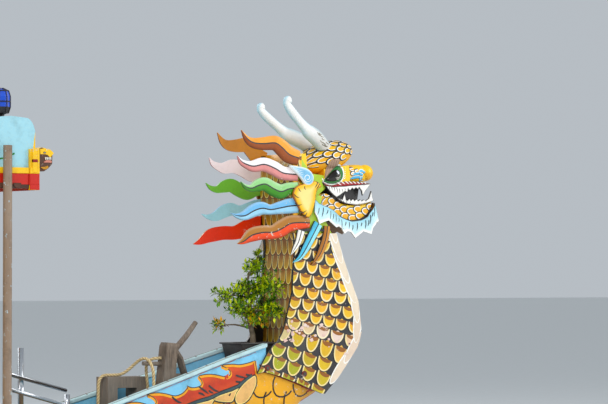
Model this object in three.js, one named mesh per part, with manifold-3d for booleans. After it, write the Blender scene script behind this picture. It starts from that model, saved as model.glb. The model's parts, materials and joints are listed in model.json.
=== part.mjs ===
// River dragon boat, 12.5 m: a slender wooden hull with a roofed cabin, a dragon's neck and head
// on the stem and a flame tail on the stern.
// Millimetres. x points forward, y to port, z up; the origin is on the waterline amidships.
import * as THREE from "three";
import { mergeVertices } from "three/addons/utils/BufferGeometryUtils.js";
import Module from "manifold-3d";

const wasm = await Module();
wasm.setup();

const rectangle = (a0, a1, b0, b1) => [[a0, b0], [a1, b0], [a1, b1], [a0, b1]];

// Driving dimensions
const GAP = 0.3; // between pieces that touch
const SIDES = { starboard: -1, port: 1 };
const DECK_Z = 600; // foredeck well and the hull's top under the cabin
const BOW_DECK_X = 4350; // where the deck steps up to the bow deck
const BOW_DECK_Z = 1240; // the bow deck beside the neck
const PLATFORM = { aft: -4350, fore: 2050, half: 1100, top: 655 };
const CABIN = { aft: -4100, fore: 1200, half: 940, wall: 40, top: 2700 };
const WINDOWS = { count: 5, first: -3550, pitch: 1050, width: 800, low: 1350, high: 2300 };
const DOORWAY = { half: 365, high: 2450 };
const DOOR = { half: 356, low: 670, high: 2438, thick: 34 };
const BENCH = { inner: 520, outer: 860, seat: 1100, leg: 50, frames: [-3850, -2300, -750, 800] };
const ROOF = { aft: -4330, fore: 2100, half: 965, crown: 2900, thick: 35 };
const FASCIA = { half: 990, thick: 25, low: 2630, strip: 2785, top: 3145, corner: 2930 };
const POST = { x: 1828, y: 1050, radius: 34, top: 2953 };
const RAIL = { thick: 32, wide: 76, bulwark: 34 };
const NECK_HALF = 240; // half of the neck's width
const NECK_BOARD = 25;
const NECK_TOP = 2325;
const HEAD_HALF = 235; // back of the head
const FACE_HALF = 150; // jaws and brow
const JAW_HALF = 132;
const MANE_BOARD = 24;
const EAR_BOARD = 26;

// Hull stations. Breadth share = 1 - (1 - keelShare) * (1 - height share) ^ fullness.
// columns: x, half breadth at the rail, rail z, keel z, deck z, keel share, fullness
const STATIONS = [
  [-6300, 430, 1130, 640, 860, 0.3, 2],
  [-5600, 640, 900, 220, 640, 0.2, 2.2],
  [-5000, 800, 760, -60, DECK_Z, 0.15, 2.5],
  [-4200, 930, 680, -280, DECK_Z, 0.12, 3.5],
  [-2500, 1040, 650, -360, DECK_Z, 0.12, 5],
  [-500, 1050, 650, -370, DECK_Z, 0.12, 5],
  [900, 920, 650, -360, DECK_Z, 0.12, 4],
  [2050, 640, 700, -330, DECK_Z, 0.12, 3],
  [2600, 470, 800, -290, DECK_Z, 0.12, 2.6],
  [3150, 350, 950, -220, DECK_Z, 0.15, 2.4],
  [3900, 275, 1165, -60, DECK_Z, 0.2, 2.4],
  [BOW_DECK_X - 1, 240, 1300, 140, DECK_Z, 0.3, 2.4],
  [BOW_DECK_X, 240, 1300, 140, 1205, 0.3, 2.4],
  [4650, 214, 1385, 400, 1235, 0.35, 3],
  [5000, 214, 1480, 740, BOW_DECK_Z, 0.45, 6],
  [5150, 214, 1480, 905, BOW_DECK_Z, 0.5, 7],
  [5300, 214, 1480, 985, BOW_DECK_Z, 0.55, 8],
  [5430, 214, 1480, 1110, BOW_DECK_Z, 0.6, 9],
  [5520, 214, 1480, 1215, BOW_DECK_Z, 0.8, 12],
];
const STEM_X = 4745; // the bow bulwarks end against the neck
const HULL_RING = [0, 0.08, 0.22, 0.45, 0.72, 1]; // height shares of a section's points

// Outlines of the neck's side board: columns x, z
const NECK_REAR = [
  [5009, 2325], [5029, 2208], [5009, 2042], [4999, 1833], [4947, 1651], [4906, 1505],
  [4855, 1428], [4762, 1346], [4698, 1248], [4648, 1162],
];
const NECK_FOOT = [[4711, 1175], [4862, 1138], [5040, 1078], [5295, 982]];
const NECK_FRONT = [
  [5331, 980], [5469, 1116], [5563, 1232], [5677, 1382], [5709, 1500], [5678, 1746],
  [5615, 1890], [5532, 2084], [5449, 2325],
];

// Mane strands, from the tip to the root: columns x, z, half width
const MANE = {
  yellow: [
    [4475, 3169, 2], [4531, 3098, 26], [4600, 3066, 43], [4700, 3063, 54], [4811, 3070, 62],
    [4882, 3031, 70], [4952, 2978, 72], [5050, 2950, 62],
  ],
  pink: [
    [4437, 2957, 2], [4475, 2908, 22], [4540, 2882, 34], [4600, 2874, 48], [4700, 2890, 58],
    [4800, 2862, 60], [4880, 2825, 58], [4950, 2816, 56], [5040, 2812, 54],
  ],
  green: [
    [4469, 2745, 2], [4515, 2705, 18], [4575, 2692, 30], [4640, 2715, 50], [4712, 2727, 57],
    [4790, 2692, 60], [4870, 2668, 60], [4950, 2692, 52], [5040, 2700, 50],
  ],
  blue: [
    [4371, 2484, 2], [4430, 2463, 18], [4510, 2465, 40], [4600, 2507, 54], [4680, 2527, 54],
    [4765, 2517, 42], [4860, 2532, 52], [4950, 2548, 62], [5040, 2556, 64],
  ],
  red: [
    [4437, 2232, 2], [4494, 2253, 26], [4580, 2304, 56], [4690, 2327, 58], [4790, 2330, 58],
    [4875, 2360, 70], [4960, 2402, 66], [5060, 2412, 60], [5160, 2410, 42],
  ],
};
// The strands are nailed to two root boards on each side.
const MANE_BOARDS = {
  upper: { strands: ["yellow", "pink", "green"], root: rectangle(5000, 5048, 2670, 2980), paint: 0xe6b36a },
  lower: { strands: ["blue", "red"], root: rectangle(5000, 5048, 2360, 2600), paint: 0xd4744a },
};

const SKULL = { x: 5490, z: 2972, a: 270, b: 205, c: 128, tilt: -0.32 }; // ellipsoid and its forward tilt
const NOSE = { x: 5885, y: 70, z: 2845, radius: 70 }; // the two nostril balls
const CHEEK = { aft: 5225, fore: 5375, low: 2640 }; // the block slants from head width to face width
const EYE = { x: 5505, z: 2823, wide: 62, high: 46, proud: 40 };

// Horn centreline, from the skull to the bulb: columns x, z, radius
const HORN = [
  [5400, 3030, 76], [5305, 3122, 74], [5210, 3180, 63], [5180, 3205, 50], [5117, 3257, 43],
  [5028, 3336, 43], [4975, 3395, 37], [4968, 3414, 35], [4976, 3434, 41], [4988, 3456, 28], [4994, 3468, 8],
];
const HORN_SPREAD = { foot: 153, tip: 199, from: 3100, to: 3440 }; // half distance between the horns
const HORN_DROOP = { starboard: 0, port: 40 }; // how much lower a horn's tip hangs

// How much further forward a port strand's tip lies than the starboard one's
const PORT_TIPS = { yellow: 88, pink: 46, green: -22, blue: 37, red: -113 };

// The beard hangs round the lower jaw from starboard to port.
// columns: x, half y, top z, lower edge z, outward flare
const BEARD = [
  [5215, 238, 2610, 2500, 0], [5255, 238, 2580, 2400, 0.05], [5345, 238, 2545, 2434, 0.1],
  [5422, 208, 2520, 2374, 0.2], [5475, 172, 2496, 2384, 0.28], [5545, 153, 2463, 2323, 0.33],
  [5600, 153, 2442, 2345, 0.33], [5661, 153, 2430, 2287, 0.33], [5758, 153, 2440, 2344, 0.33],
  [5826, 153, 2474, 2321, 0.33], [5876, 153, 2535, 2412, 0.3], [5915, 125, 2585, 2450, 0.25],
  [5935, 70, 2595, 2440, 0.2],
];
const BEARD_BOARD = 16;

const RUDDER = { x: -5560, stock: 30, tube: 42, top: 900, low: -360, high: 120 };
// The shaft runs straight from the hull's bottom to the propeller: x, z
const SHAFT = { fore: [-4200, -250], aft: [-5060, -300], radius: 20, propeller: [-5110, -303] };
const SCREW = { hub: 34, blades: 4, foot: 27, reach: 162, wide: 92, thick: 14 };
const ENGINE = { aft: -4930, fore: -4430, half: 190, high: 480 };
const ENGINE_BOX = { aft: -4980, fore: -4380, half: 270, high: 545, board: 25 };

const MOORING_POST = { y: -150, peg: { y: -145, z: 1254, rise: 8, fore: 3770, aft: 3588, radius: 18 } };
const CRATE = { aft: 3340, fore: 3714, starboard: -10, port: 170, top: 1150, plank: 95 };
const PLANTER = { x: 4745, foot: 172, rim: 216, wall: 14, high: 150, narrow: 0.76 };

// Mooring rope: out of the post, a long bight hung over the peg, down onto the crate,
// over its after edge and along the foredeck into a coil.
const ROPE = { radius: 13, steps: 72, coil: { x: 2900, y: -40, inner: 120, outer: 178, high: 82 } };
const ROPE_ROUTE = [
  [3762, -145, 1302], [3744, -145, 1302], [3722, -142, 1301], [3701, -133, 1298], [3683, -120, 1291],
  [3670, -100, 1277], [3664, -81, 1249], [3667, -70, 1205], [3676, -67, 1140], [3684, -67, 1065],
  [3686, -69, 1003], [3680, -94, 949], [3668, -145, 927], [3655, -196, 949], [3647, -221, 1003],
  [3644, -223, 1080], [3643, -222, 1150], [3641, -216, 1205], [3636, -198, 1250], [3627, -166, 1288],
  [3613, -130, 1300], [3594, -94, 1289], [3568, -60, 1258], [3538, -26, 1218], [3506, 2, 1186],
  [3470, 20, 1169], [3430, 30, 1166], [3388, 35, 1166], [3350, 37, 1166], [3318, 37, 1159],
  [3294, 37, 1138], [3283, 37, 1102], [3279, 38, 980], [3274, 41, 770], [3252, 47, 677],
  [3210, 60, 630], [3155, 77, 616], [3095, 97, 615], [3030, 118, 615], [2964, 142, 615],
];

// Geometry helpers

function outward(geometry) {
  const bare = geometry.clone();
  for (const name of Object.keys(bare.attributes)) if (name !== "position") bare.deleteAttribute(name);
  const merged = mergeVertices(bare, 1e-3);
  const p = merged.attributes.position;
  const at = (k) => new THREE.Vector3().fromBufferAttribute(p, merged.index.getX(k));
  let volume = 0;
  for (let k = 0; k < merged.index.count; k += 3) volume += at(k).dot(at(k + 1).cross(at(k + 2)));
  if (volume < 0) {
    const index = [...merged.index.array];
    for (let k = 0; k < index.length; k += 3) [index[k], index[k + 1]] = [index[k + 1], index[k]];
    merged.setIndex(index);
  }
  return merged;
}

function solid(geometry) {
  const merged = outward(geometry);
  return new wasm.Manifold(
    new wasm.Mesh({
      numProp: 3,
      vertProperties: merged.attributes.position.array,
      triVerts: new Uint32Array(merged.index.array),
    }),
  );
}

function geometryOf(made) {
  const mesh = made.getMesh();
  return new THREE.BufferGeometry()
    .setAttribute("position", new THREE.BufferAttribute(mesh.vertProperties, 3))
    .setIndex([...mesh.triVerts]);
}

const join = (...pieces) => geometryOf(pieces.map(solid).reduce((a, b) => a.add(b)));
const cut = (piece, ...tools) =>
  geometryOf(tools.map(solid).reduce((a, b) => a.subtract(b), solid(piece)));

// A closed skin over rings of points, with flat ends.
function loft(rings) {
  const count = rings[0].length;
  const points = rings.flat();
  const index = [];
  for (let i = 0; i + 1 < rings.length; i++)
    for (let j = 0; j < count; j++) {
      const a = i * count + j;
      const b = i * count + ((j + 1) % count);
      index.push(a, b, b + count, a, b + count, a + count);
    }
  for (const [ring, first, flip] of [[rings[0], 0, true], [rings.at(-1), points.length - count, false]]) {
    const centre = points.length;
    points.push([0, 1, 2].map((k) => ring.reduce((sum, q) => sum + q[k], 0) / count));
    for (let j = 0; j < count; j++) {
      const a = first + j;
      const b = first + ((j + 1) % count);
      index.push(...(flip ? [b, a, centre] : [a, b, centre]));
    }
  }
  const geometry = new THREE.BufferGeometry();
  geometry.setAttribute("position", new THREE.Float32BufferAttribute(points.flat(), 3));
  geometry.setIndex(index);
  return outward(geometry);
}

const shapeOf = (points) => new THREE.Shape(points.map(([a, b]) => new THREE.Vector2(a, b)));

// A board cut to an outline in x, z, lying between two values of y.
function sideBoard(points, yLow, yHigh) {
  return new THREE.ExtrudeGeometry(shapeOf(points), { depth: yHigh - yLow, bevelEnabled: false })
    .rotateX(Math.PI / 2)
    .translate(0, yHigh, 0);
}

// The same on one side of the boat, between two distances from the centreline.
const boardOn = (side, points, inner, outer) =>
  side < 0 ? sideBoard(points, -outer, -inner) : sideBoard(points, inner, outer);

// A board cut to an outline in y, z, lying between two values of x.
function crossBoard(points, xAft, xFore) {
  const yzx = new THREE.Matrix4().set(0, 0, 1, 0, 1, 0, 0, 0, 0, 1, 0, 0, 0, 0, 0, 1);
  return new THREE.ExtrudeGeometry(shapeOf(points), { depth: xFore - xAft, bevelEnabled: false })
    .applyMatrix4(yzx)
    .translate(xAft, 0, 0);
}

function box(x0, x1, y0, y1, z0, z1) {
  return new THREE.BoxGeometry(x1 - x0, y1 - y0, z1 - z0)
    .translate((x0 + x1) / 2, (y0 + y1) / 2, (z0 + z1) / 2);
}

const smooth = (points, count, closed = false) =>
  new THREE.CatmullRomCurve3(points.map(([a, b]) => new THREE.Vector3(a, b, 0)), closed, "centripetal")
    .getPoints(count)
    .slice(0, closed ? -1 : undefined)
    .map((q) => [q.x, q.y]);

// The outline of a leaf or strand: a centreline with a half width at each point.
function leaf(stations) {
  const edge = (sign) => stations.map(([x, z, half], i) => {
    const a = stations[Math.max(i - 1, 0)];
    const b = stations[Math.min(i + 1, stations.length - 1)];
    const length = Math.hypot(b[0] - a[0], b[1] - a[1]);
    return [x - (sign * half * (b[1] - a[1])) / length, z + (sign * half * (b[0] - a[0])) / length];
  });
  return [...edge(1), ...edge(-1).reverse()];
}

// A round limb through stations of x, y, z and radius, squashed across by flat.
function limb(stations, sides = 8, flat = 1) {
  return loft(stations.map(([x, y, z, r], i) => {
    const a = stations[Math.max(i - 1, 0)];
    const b = stations[Math.min(i + 1, stations.length - 1)];
    const along = new THREE.Vector3(b[0] - a[0], b[1] - a[1], b[2] - a[2]).normalize();
    const out = Math.abs(along.y) > 0.9 ? new THREE.Vector3(1, 0, 0) : new THREE.Vector3(0, 1, 0);
    const up = new THREE.Vector3().crossVectors(along, out).normalize();
    const across = new THREE.Vector3().crossVectors(up, along);
    return Array.from({ length: sides }, (_, k) => {
      const angle = ((k + 0.5) * 2 * Math.PI) / sides;
      const u = r * Math.cos(angle);
      const v = r * flat * Math.sin(angle);
      return [x + up.x * u + across.x * v, y + up.y * u + across.y * v, z + up.z * u + across.z * v];
    });
  }));
}

// A cylinder along x, y or z.
function drum(radius, length, axis, x, y, z, sides = 16) {
  const geometry = new THREE.CylinderGeometry(radius, radius, length, sides);
  if (axis === "x") geometry.rotateZ(Math.PI / 2);
  if (axis === "z") geometry.rotateX(Math.PI / 2);
  return geometry.translate(x, y, z);
}

const boat = new THREE.Group();

function add(name, geometry, color, roughness = 0.6, metalness = 0) {
  const material = new THREE.MeshStandardMaterial({ color, roughness, metalness, flatShading: true });
  const shown = outward(geometry);
  shown.computeVertexNormals();
  const mesh = new THREE.Mesh(shown, material);
  mesh.name = name;
  boat.add(mesh);
}

// Hull

function station(x) {
  const after = Math.max(1, STATIONS.findIndex((row) => row[0] >= x));
  const [a, b] = [STATIONS[after - 1], STATIONS[after]];
  const t = (x - a[0]) / (b[0] - a[0]);
  return a.map((value, k) => value + t * (b[k] - value));
}

function halfBreadth([, half, rail, keel, , keelShare, fullness], z) {
  const share = Math.min(1, Math.max(0, (z - keel) / (rail - keel)));
  return half * (1 - (1 - keelShare) * (1 - share) ** fullness);
}

function makeHull() {
  const body = loft(STATIONS.map((row) => {
    const [x, , , keel, deck] = row;
    const sideOf = HULL_RING.map((share) => {
      const z = keel + share * (deck - keel);
      return [x, halfBreadth(row, z), z];
    });
    return [...sideOf, ...sideOf.map(([px, py, pz]) => [px, -py, pz]).reverse()];
  }));
  add("hull", cut(body, drum(RUDDER.tube, 1200, "z", RUDDER.x, 0, 400)), 0xb5562c);
}

// The planking above the deck between two stations, and the cap on it.
function railStations(from, to) {
  const inner = STATIONS.filter((row) => row[0] > from && row[0] < to);
  return [station(from), ...inner, station(to)];
}

function bulwarkRing(row, side) {
  const [x, half, rail, , deck] = row;
  const low = deck + GAP;
  const high = rail - RAIL.thick - GAP;
  const outer = halfBreadth(row, low);
  return [
    [x, side * outer, low], [x, side * half, high],
    [x, side * (half - RAIL.bulwark), high], [x, side * (outer - RAIL.bulwark), low],
  ];
}

function capRing([x, half, rail], side, sunk = 0) {
  const centre = half - RAIL.bulwark / 2 + 8;
  const [inner, outer] = [side * (centre - RAIL.wide / 2), side * (centre + RAIL.wide / 2)];
  const low = rail - RAIL.thick - sunk;
  return [[x, inner, low], [x, outer, low], [x, outer, rail], [x, inner, rail]];
}

function makeBulwarks() {
  const bow = railStations(PLATFORM.fore + 1, STEM_X);
  const stern = railStations(-6299, PLATFORM.aft - 1);
  // the planking steps up with the deck, just aft of the step
  const shifted = bow.map((row) => (row[0] > BOW_DECK_X - 2 && row[0] <= BOW_DECK_X
    ? [row[0] - (row[0] === BOW_DECK_X ? 1.3 : 1), ...row.slice(1)] : row));
  for (const [name, side] of Object.entries(SIDES)) {
    add("bulwark_" + name, loft(shifted.map((row) => bulwarkRing(row, side))), 0x8fc7dc);
    add("cap_rail_" + name, loft(shifted.map((row) => capRing(row, side))), 0xb9d6dc, 0.8);
  }
  const [x, half, rail, , deck] = STATIONS[0];
  const transom = box(x + 1, x + 45, -half + 20, half - 20, deck + 12, rail - RAIL.thick - GAP);
  const sidesOf = Object.values(SIDES).map((side) => loft(stern.map((row) => bulwarkRing(row, side))));
  const cap = box(x + 1, x + 75, -half, half, rail - RAIL.thick - 1, rail);
  const caps = Object.values(SIDES).map((side) => loft(stern.map((row) => capRing(row, side, 1))));
  add("stern_bulwark", join(transom, ...sidesOf, cap, ...caps), 0x8fc7dc);
}

// Cabin

function makeCabin() {
  const { aft, fore, half, wall, top } = CABIN;
  const floor = PLATFORM.top + GAP;
  const deck = crossBoard(rectangle(-PLATFORM.half, PLATFORM.half, DECK_Z + GAP, PLATFORM.top),
    PLATFORM.aft, PLATFORM.fore);
  add("cabin_deck", deck, 0x8b6a45, 0.8);
  const holes = Array.from({ length: WINDOWS.count }, (_, i) => {
    const x = WINDOWS.first + i * WINDOWS.pitch;
    return box(x - WINDOWS.width / 2, x + WINDOWS.width / 2, -2 * half, 2 * half, WINDOWS.low, WINDOWS.high);
  });
  for (const [name, side] of Object.entries(SIDES)) {
    const board = boardOn(side, rectangle(aft, fore, floor, top), half - wall, half);
    add("cabin_wall_" + name, cut(board, ...holes), 0x9fcfe0);
  }
  const end = [
    [-half + wall + GAP, floor], [-DOORWAY.half, floor], [-DOORWAY.half, DOORWAY.high],
    [DOORWAY.half, DOORWAY.high], [DOORWAY.half, floor], [half - wall - GAP, floor],
    [half - wall - GAP, top - 4], [-half + wall + GAP, top - 4],
  ];
  add("cabin_front", crossBoard(end, fore - wall, fore), 0xd9b24a);
  add("cabin_back", crossBoard(end, aft, aft + wall), 0xd9b24a);
  add("cabin_door", box(fore - DOOR.thick, fore, -DOOR.half, DOOR.half, DOOR.low, DOOR.high), 0x8c2f22);
  const { inner, outer, seat, leg, frames } = BENCH;
  const planks = Object.values(SIDES).map((side) =>
    boardOn(side, rectangle(frames[0] - 40, frames.at(-1) + 90, seat - 40, seat), inner, outer));
  const legs = frames.flatMap((x) => [
    box(x, x + leg, -outer + 20, outer - 20, floor, floor + 45),
    ...Object.values(SIDES).map((side) => boardOn(side, rectangle(x, x + leg, floor, seat - 20),
      inner + 20, outer - 20)),
  ]);
  add("benches", join(...planks, ...legs), 0x9c6b3a);
}

// Roof

function roofShape(lift) {
  const { aft, fore, half, crown, thick } = ROOF;
  const flange = CABIN.half - CABIN.wall - 20;
  const under = [
    [-half + GAP, CABIN.top + GAP], [-flange, CABIN.top + GAP], [-600, 2800], [-300, crown - 40],
    [0, crown - 10], [300, crown - 40], [600, 2800], [flange, CABIN.top + GAP], [half - GAP, CABIN.top + GAP],
  ];
  const over = under.map(([y, z]) => [y, z + thick + lift]).reverse();
  return crossBoard([...under, ...over], aft, fore);
}

function makeRoof() {
  const { aft, fore } = ROOF;
  add("roof", roofShape(0), 0x6d4b3a, 0.8);
  const { low, strip, top, corner } = FASCIA;
  const side = [
    [aft, low + 1], [fore, low + 1],
    ...smooth([[fore, top - 80], [fore - 22, top - 20], [fore - 75, top + 24], [1200, top - 30]], 8),
    [-3300, top - 30], ...smooth([[aft + 75, top + 24], [aft + 22, top - 20], [aft, top - 80]], 5),
  ];
  const beam = rectangle(aft, fore - 64, low, strip);
  for (const [name, sign] of Object.entries(SIDES)) {
    const panel = boardOn(sign, side, FASCIA.half - FASCIA.thick, FASCIA.half);
    const rail = boardOn(sign, beam, FASCIA.half - 10, FASCIA.half + 14);
    add("fascia_" + name, join(panel, rail), 0xaeddea);
  }
  const gable = (height) => {
    const line = smooth([[-1012, corner], [-700, corner + 40], [-330, corner + 180], [0, corner + height],
      [330, corner + 180], [700, corner + 40], [1012, corner]], 24);
    return [[-1012, low - 10], [1012, low - 10], ...line.reverse()];
  };
  const cornerPost = (sign, x) =>
    box(x - 62, x + 2, Math.min(sign * 991, sign * 1012), Math.max(sign * 991, sign * 1012), low - 10, corner);
  const fronts = Object.values(SIDES).map((sign) => cornerPost(sign, fore + GAP + 1));
  const front = crossBoard(gable(430), fore + GAP, fore + GAP + 25);
  const snout = [
    [2100, 2770], [2192, 2765], [2232, 2790], [2264, 2824], [2266, 2900], [2230, 2935], [2172, 2948],
    [2126, 2925], [2110, 2925],
  ].map(([x, z]) => [x + 2, z]);
  const heads = Object.values(SIDES).map((sign) => boardOn(sign, snout, 860, 960));
  add("fascia_front", join(front, ...fronts, ...heads), 0xe3b93c);
  add("fascia_back", crossBoard(gable(330), aft - 25 - GAP, aft - GAP), 0xe3b93c);
}

function makePosts() {
  const { x, y, radius, top } = POST;
  const low = PLATFORM.top + GAP;
  for (const [name, side] of Object.entries(SIDES))
    add("post_" + name, drum(radius, top - low, "z", x, side * y, (top + low) / 2, 12), 0xa98d7a, 0.7, 0.4);
}

function makeLamps() {
  for (const [name, side] of Object.entries(SIDES)) {
    const lamp = new THREE.LatheGeometry([
      [0, 3040], [95, 3040], [95, 3055], [30, 3075], [30, 3190], [62, 3205], [75, 3250], [75, 3330],
      [62, 3372], [18, 3392], [0, 3392],
    ].map(([r, z]) => new THREE.Vector2(r, z)), 12).rotateX(Math.PI / 2);
    const pole = drum(34, 330, "z", 0, 0, 2890, 12);
    const stood = join(lamp, pole).translate(1870, side * 860, 0);
    add("lamp_" + name, cut(stood, roofShape(GAP)), 0x223a9c, 0.3);
  }
}

// Neck

function makeNeck() {
  const outline = [...NECK_REAR, ...NECK_FOOT, ...NECK_FRONT];
  for (const [name, side] of Object.entries(SIDES))
    add("neck_side_" + name, boardOn(side, outline, NECK_HALF - NECK_BOARD, NECK_HALF), 0xe0a52e);
  const inner = NECK_HALF - NECK_BOARD - GAP;
  const back = [[5004, 1245], [5030, 1245], [5034, 1833], [5046, 2042], [5064, 2208], [5042, NECK_TOP],
    [5017, NECK_TOP], [5038, 2208], [5018, 2042], [5008, 1833]];
  add("neck_back", sideBoard(back, -inner, inner), 0xcf9a2c);
  const front = NECK_FRONT.slice(3).map(([x, z]) => [x - 3, z]);
  const foot = [[5576, BOW_DECK_Z + 5], ...front];
  const belly = [...foot, ...foot.map(([x, z]) => [x - NECK_BOARD, z]).reverse()];
  add("neck_front", sideBoard(belly, -inner, inner), 0xe9dcc0);
}

// Head

const skullShape = (grow) => new THREE.SphereGeometry(1, 20, 12)
  .scale(SKULL.a + grow, SKULL.b + grow, SKULL.c + grow)
  .rotateY(SKULL.tilt)
  .translate(SKULL.x, 0, SKULL.z);

// The block's sides are cut away in plan, slanting in to the width of the face.
function cheekCut(side) {
  const slope = (HEAD_HALF - FACE_HALF) / (CHEEK.fore - CHEEK.aft);
  const reach = 2 * (CHEEK.fore - CHEEK.aft);
  const outer = HEAD_HALF + 1;
  const plan = [
    [CHEEK.aft, HEAD_HALF], [CHEEK.aft, outer], [CHEEK.aft + reach, outer],
    [CHEEK.aft + reach, HEAD_HALF - slope * reach],
  ];
  const ring = (z) => plan.map(([x, y]) => [x, side * y, z]);
  return loft([ring(CHEEK.low), ring(SKULL.z)]);
}

function makeHead() {
  const back = [
    [5032, NECK_TOP + GAP], [5002, 2500], [4992, 2700], [5000, 2880], [5060, 2990], [5135, 2990],
    [5150, 2870], [5200, 2822], [5420, 2812], [5420, 2722], [5400, 2700], [5300, 2655], [5290, 2560],
    [5330, 2440], [5400, NECK_TOP + GAP],
  ];
  const brow = [[5380, 2870], [5380, 2725], [5540, 2722], [5640, 2737], [5655, 2800], [5640, 2905]];
  const block = cut(sideBoard(back, -HEAD_HALF, HEAD_HALF), ...Object.values(SIDES).map(cheekCut));
  const head = join(block, sideBoard(brow, -FACE_HALF, FACE_HALF));
  add("head", cut(head, skullShape(GAP)), 0x9fb98a);
  add("skull", skullShape(0), 0xe2a92b);
  const snout = [
    [5643, 2737], [5775, 2741], [5850, 2748], [5870, 2775], [5872, 2880], [5829, 2915], [5744, 2905],
    [5643, 2905], [5657, 2800],
  ];
  const balls = Object.values(SIDES).map((side) =>
    new THREE.SphereGeometry(NOSE.radius, 14, 10).translate(NOSE.x, side * NOSE.y, NOSE.z));
  const bridge = drum(NOSE.radius - 4, 2 * NOSE.y, "y", NOSE.x, 0, NOSE.z, 14);
  const upper = join(sideBoard(snout, -JAW_HALF, JAW_HALF), ...balls, bridge);
  add("upper_jaw", cut(upper, skullShape(GAP)), 0xe2b23a);
  const chin = [
    [5302, 2649], [5360, 2660], [5411, 2656], [5450, 2632], [5502, 2598], [5586, 2573], [5686, 2567],
    [5794, 2575], [5879, 2602], [5863, 2528], [5832, 2484], [5755, 2440], [5678, 2427], [5602, 2432],
    [5548, 2463], [5472, 2480], [5411, 2517], [5345, 2534], [5310, 2575],
  ];
  const tongue = [[5450, 2620], [5560, 2600], [5680, 2625], [5780, 2600], [5700, 2560], [5500, 2560]];
  const teeth = [
    [5425, 2719], [5540, 2717], [5640, 2731], [5862, 2746], [5816, 2697], [5785, 2653], [5739, 2702],
    [5639, 2688], [5600, 2681], [5560, 2654], [5536, 2640], [5593, 2655], [5612, 2613], [5685, 2608],
    [5769, 2611], [5847, 2622], [5874, 2685], [5893, 2604], [5777, 2568], [5662, 2567], [5608, 2570],
    [5547, 2592], [5480, 2628], [5425, 2688],
  ];
  const rows = Object.values(SIDES).map((side) => boardOn(side, teeth, FACE_HALF - 1, FACE_HALF + 18));
  const jaw = [sideBoard(chin, -FACE_HALF, FACE_HALF), sideBoard(tongue, -60, 60)];
  add("lower_jaw", join(...jaw, ...rows), 0xd99a2c);
  for (const [name, side] of Object.entries(SIDES)) {
    const ball = new THREE.SphereGeometry(1, 16, 10).scale(EYE.wide, EYE.proud, EYE.high)
      .translate(EYE.x, side * (FACE_HALF + GAP), EYE.z);
    const inside = side > 0 ? [-100, FACE_HALF + GAP] : [-FACE_HALF - GAP, 100];
    const mask = box(EYE.x - 200, EYE.x + 200, ...inside, EYE.z - 200, EYE.z + 200);
    add("eye_" + name, cut(ball, mask, skullShape(GAP)), 0x181410, 0.15);
  }
}

// A strand's stations on one side: those to port were drawn out to other lengths.
function strandOf(strand, side) {
  const line = MANE[strand];
  const [tip, root] = [line[0][0], line.at(-1)[0]];
  const shift = side > 0 ? PORT_TIPS[strand] : 0;
  return line.map(([x, z, half]) => [x + (shift * (root - x)) / (root - tip), z, half]);
}

function makeManes() {
  const inner = HEAD_HALF + GAP;
  for (const [part, { strands, root, paint }] of Object.entries(MANE_BOARDS))
    for (const [name, side] of Object.entries(SIDES)) {
      const boards = strands.map((strand) => boardOn(side, leaf(strandOf(strand, side)), inner,
        inner + MANE_BOARD));
      const holder = boardOn(side, root, inner, inner + MANE_BOARD / 2);
      add("mane_" + part + "_" + name, join(holder, ...boards), paint);
    }
}

function makeEars() {
  const inner = HEAD_HALF + MANE_BOARD + 2 * GAP;
  const ear = smooth([
    [4979, 2633], [5030, 2722], [5128, 2738], [5188, 2758], [5264, 2717], [5211, 2661], [5181, 2525],
    [5128, 2451], [5046, 2517],
  ], 24, true);
  const curl = smooth([
    [4943, 2885], [5017, 2810], [5070, 2762], [5110, 2722], [5182, 2750], [5189, 2795], [5129, 2861],
    [5040, 2890],
  ], 22, true);
  const tuft = [
    [[5075, 2345, 45], [5045, 2260, 30], [5005, 2190, 20], [4969, 2143, 3]],
    [[5250, 2410, 52], [5180, 2300, 44], [5110, 2190, 38], [5050, 2110, 20], [4988, 2080, 3]],
    [[5340, 2385, 35], [5325, 2290, 33], [5270, 2160, 33], [5183, 2058, 3]],
    [[5040, 2328, 14], [5200, 2345, 14], [5340, 2340, 14]],
  ].map(leaf);
  for (const [name, side] of Object.entries(SIDES)) {
    const pieces = [ear, curl].map((line) => boardOn(side, line, inner, inner + EAR_BOARD));
    add("ear_" + name, join(...pieces), 0xe7b63c);
    const hair = tuft.map((line) => boardOn(side, line, NECK_HALF + GAP, NECK_HALF + 20));
    const around = strandOf("red", side).map(([x, z, half]) => [x, z, half + 6]);
    const clear = boardOn(side, leaf(around), 200, 300);
    add("tuft_" + name, cut(join(...hair), clear, beardShape(GAP)), 0x6fa9c9);
    const { foot, tip, from, to } = HORN_SPREAD;
    const horn = limb(HORN.map(([x, z, r]) => {
      const up = Math.min(1, Math.max(0, (z - from) / (to - from)));
      return [x, side * (foot + (tip - foot) * up), z - HORN_DROOP[name] * up, r];
    }));
    add("horn_" + name, cut(horn, skullShape(GAP)), 0xeef3f5, 0.4);
  }
}

function beardShape(grow) {
  const starboard = BEARD.map(([x, y, ...rest]) => [x, -y, ...rest]);
  const chin = [BEARD.at(-1)[0] + 7, 0, 2595, 2400, 0.2];
  const path = [...starboard, chin, ...[...BEARD].reverse()];
  return loft(path.map(([x, y, top, low, flare], i) => {
    const a = path[Math.max(i - 1, 0)];
    const b = path[Math.min(i + 1, path.length - 1)];
    const out = new THREE.Vector2(b[1] - a[1], a[0] - b[0]).normalize();
    const at = (offset, z) => {
      const away = offset + flare * (top - z);
      return [x + out.x * away, y + out.y * away, z];
    };
    const [inner, outer] = [GAP - grow, BEARD_BOARD + grow];
    return [at(inner, top + grow), at(outer, top + grow), at(outer, low - grow), at(inner, low - grow)];
  }));
}

// Stern

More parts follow.
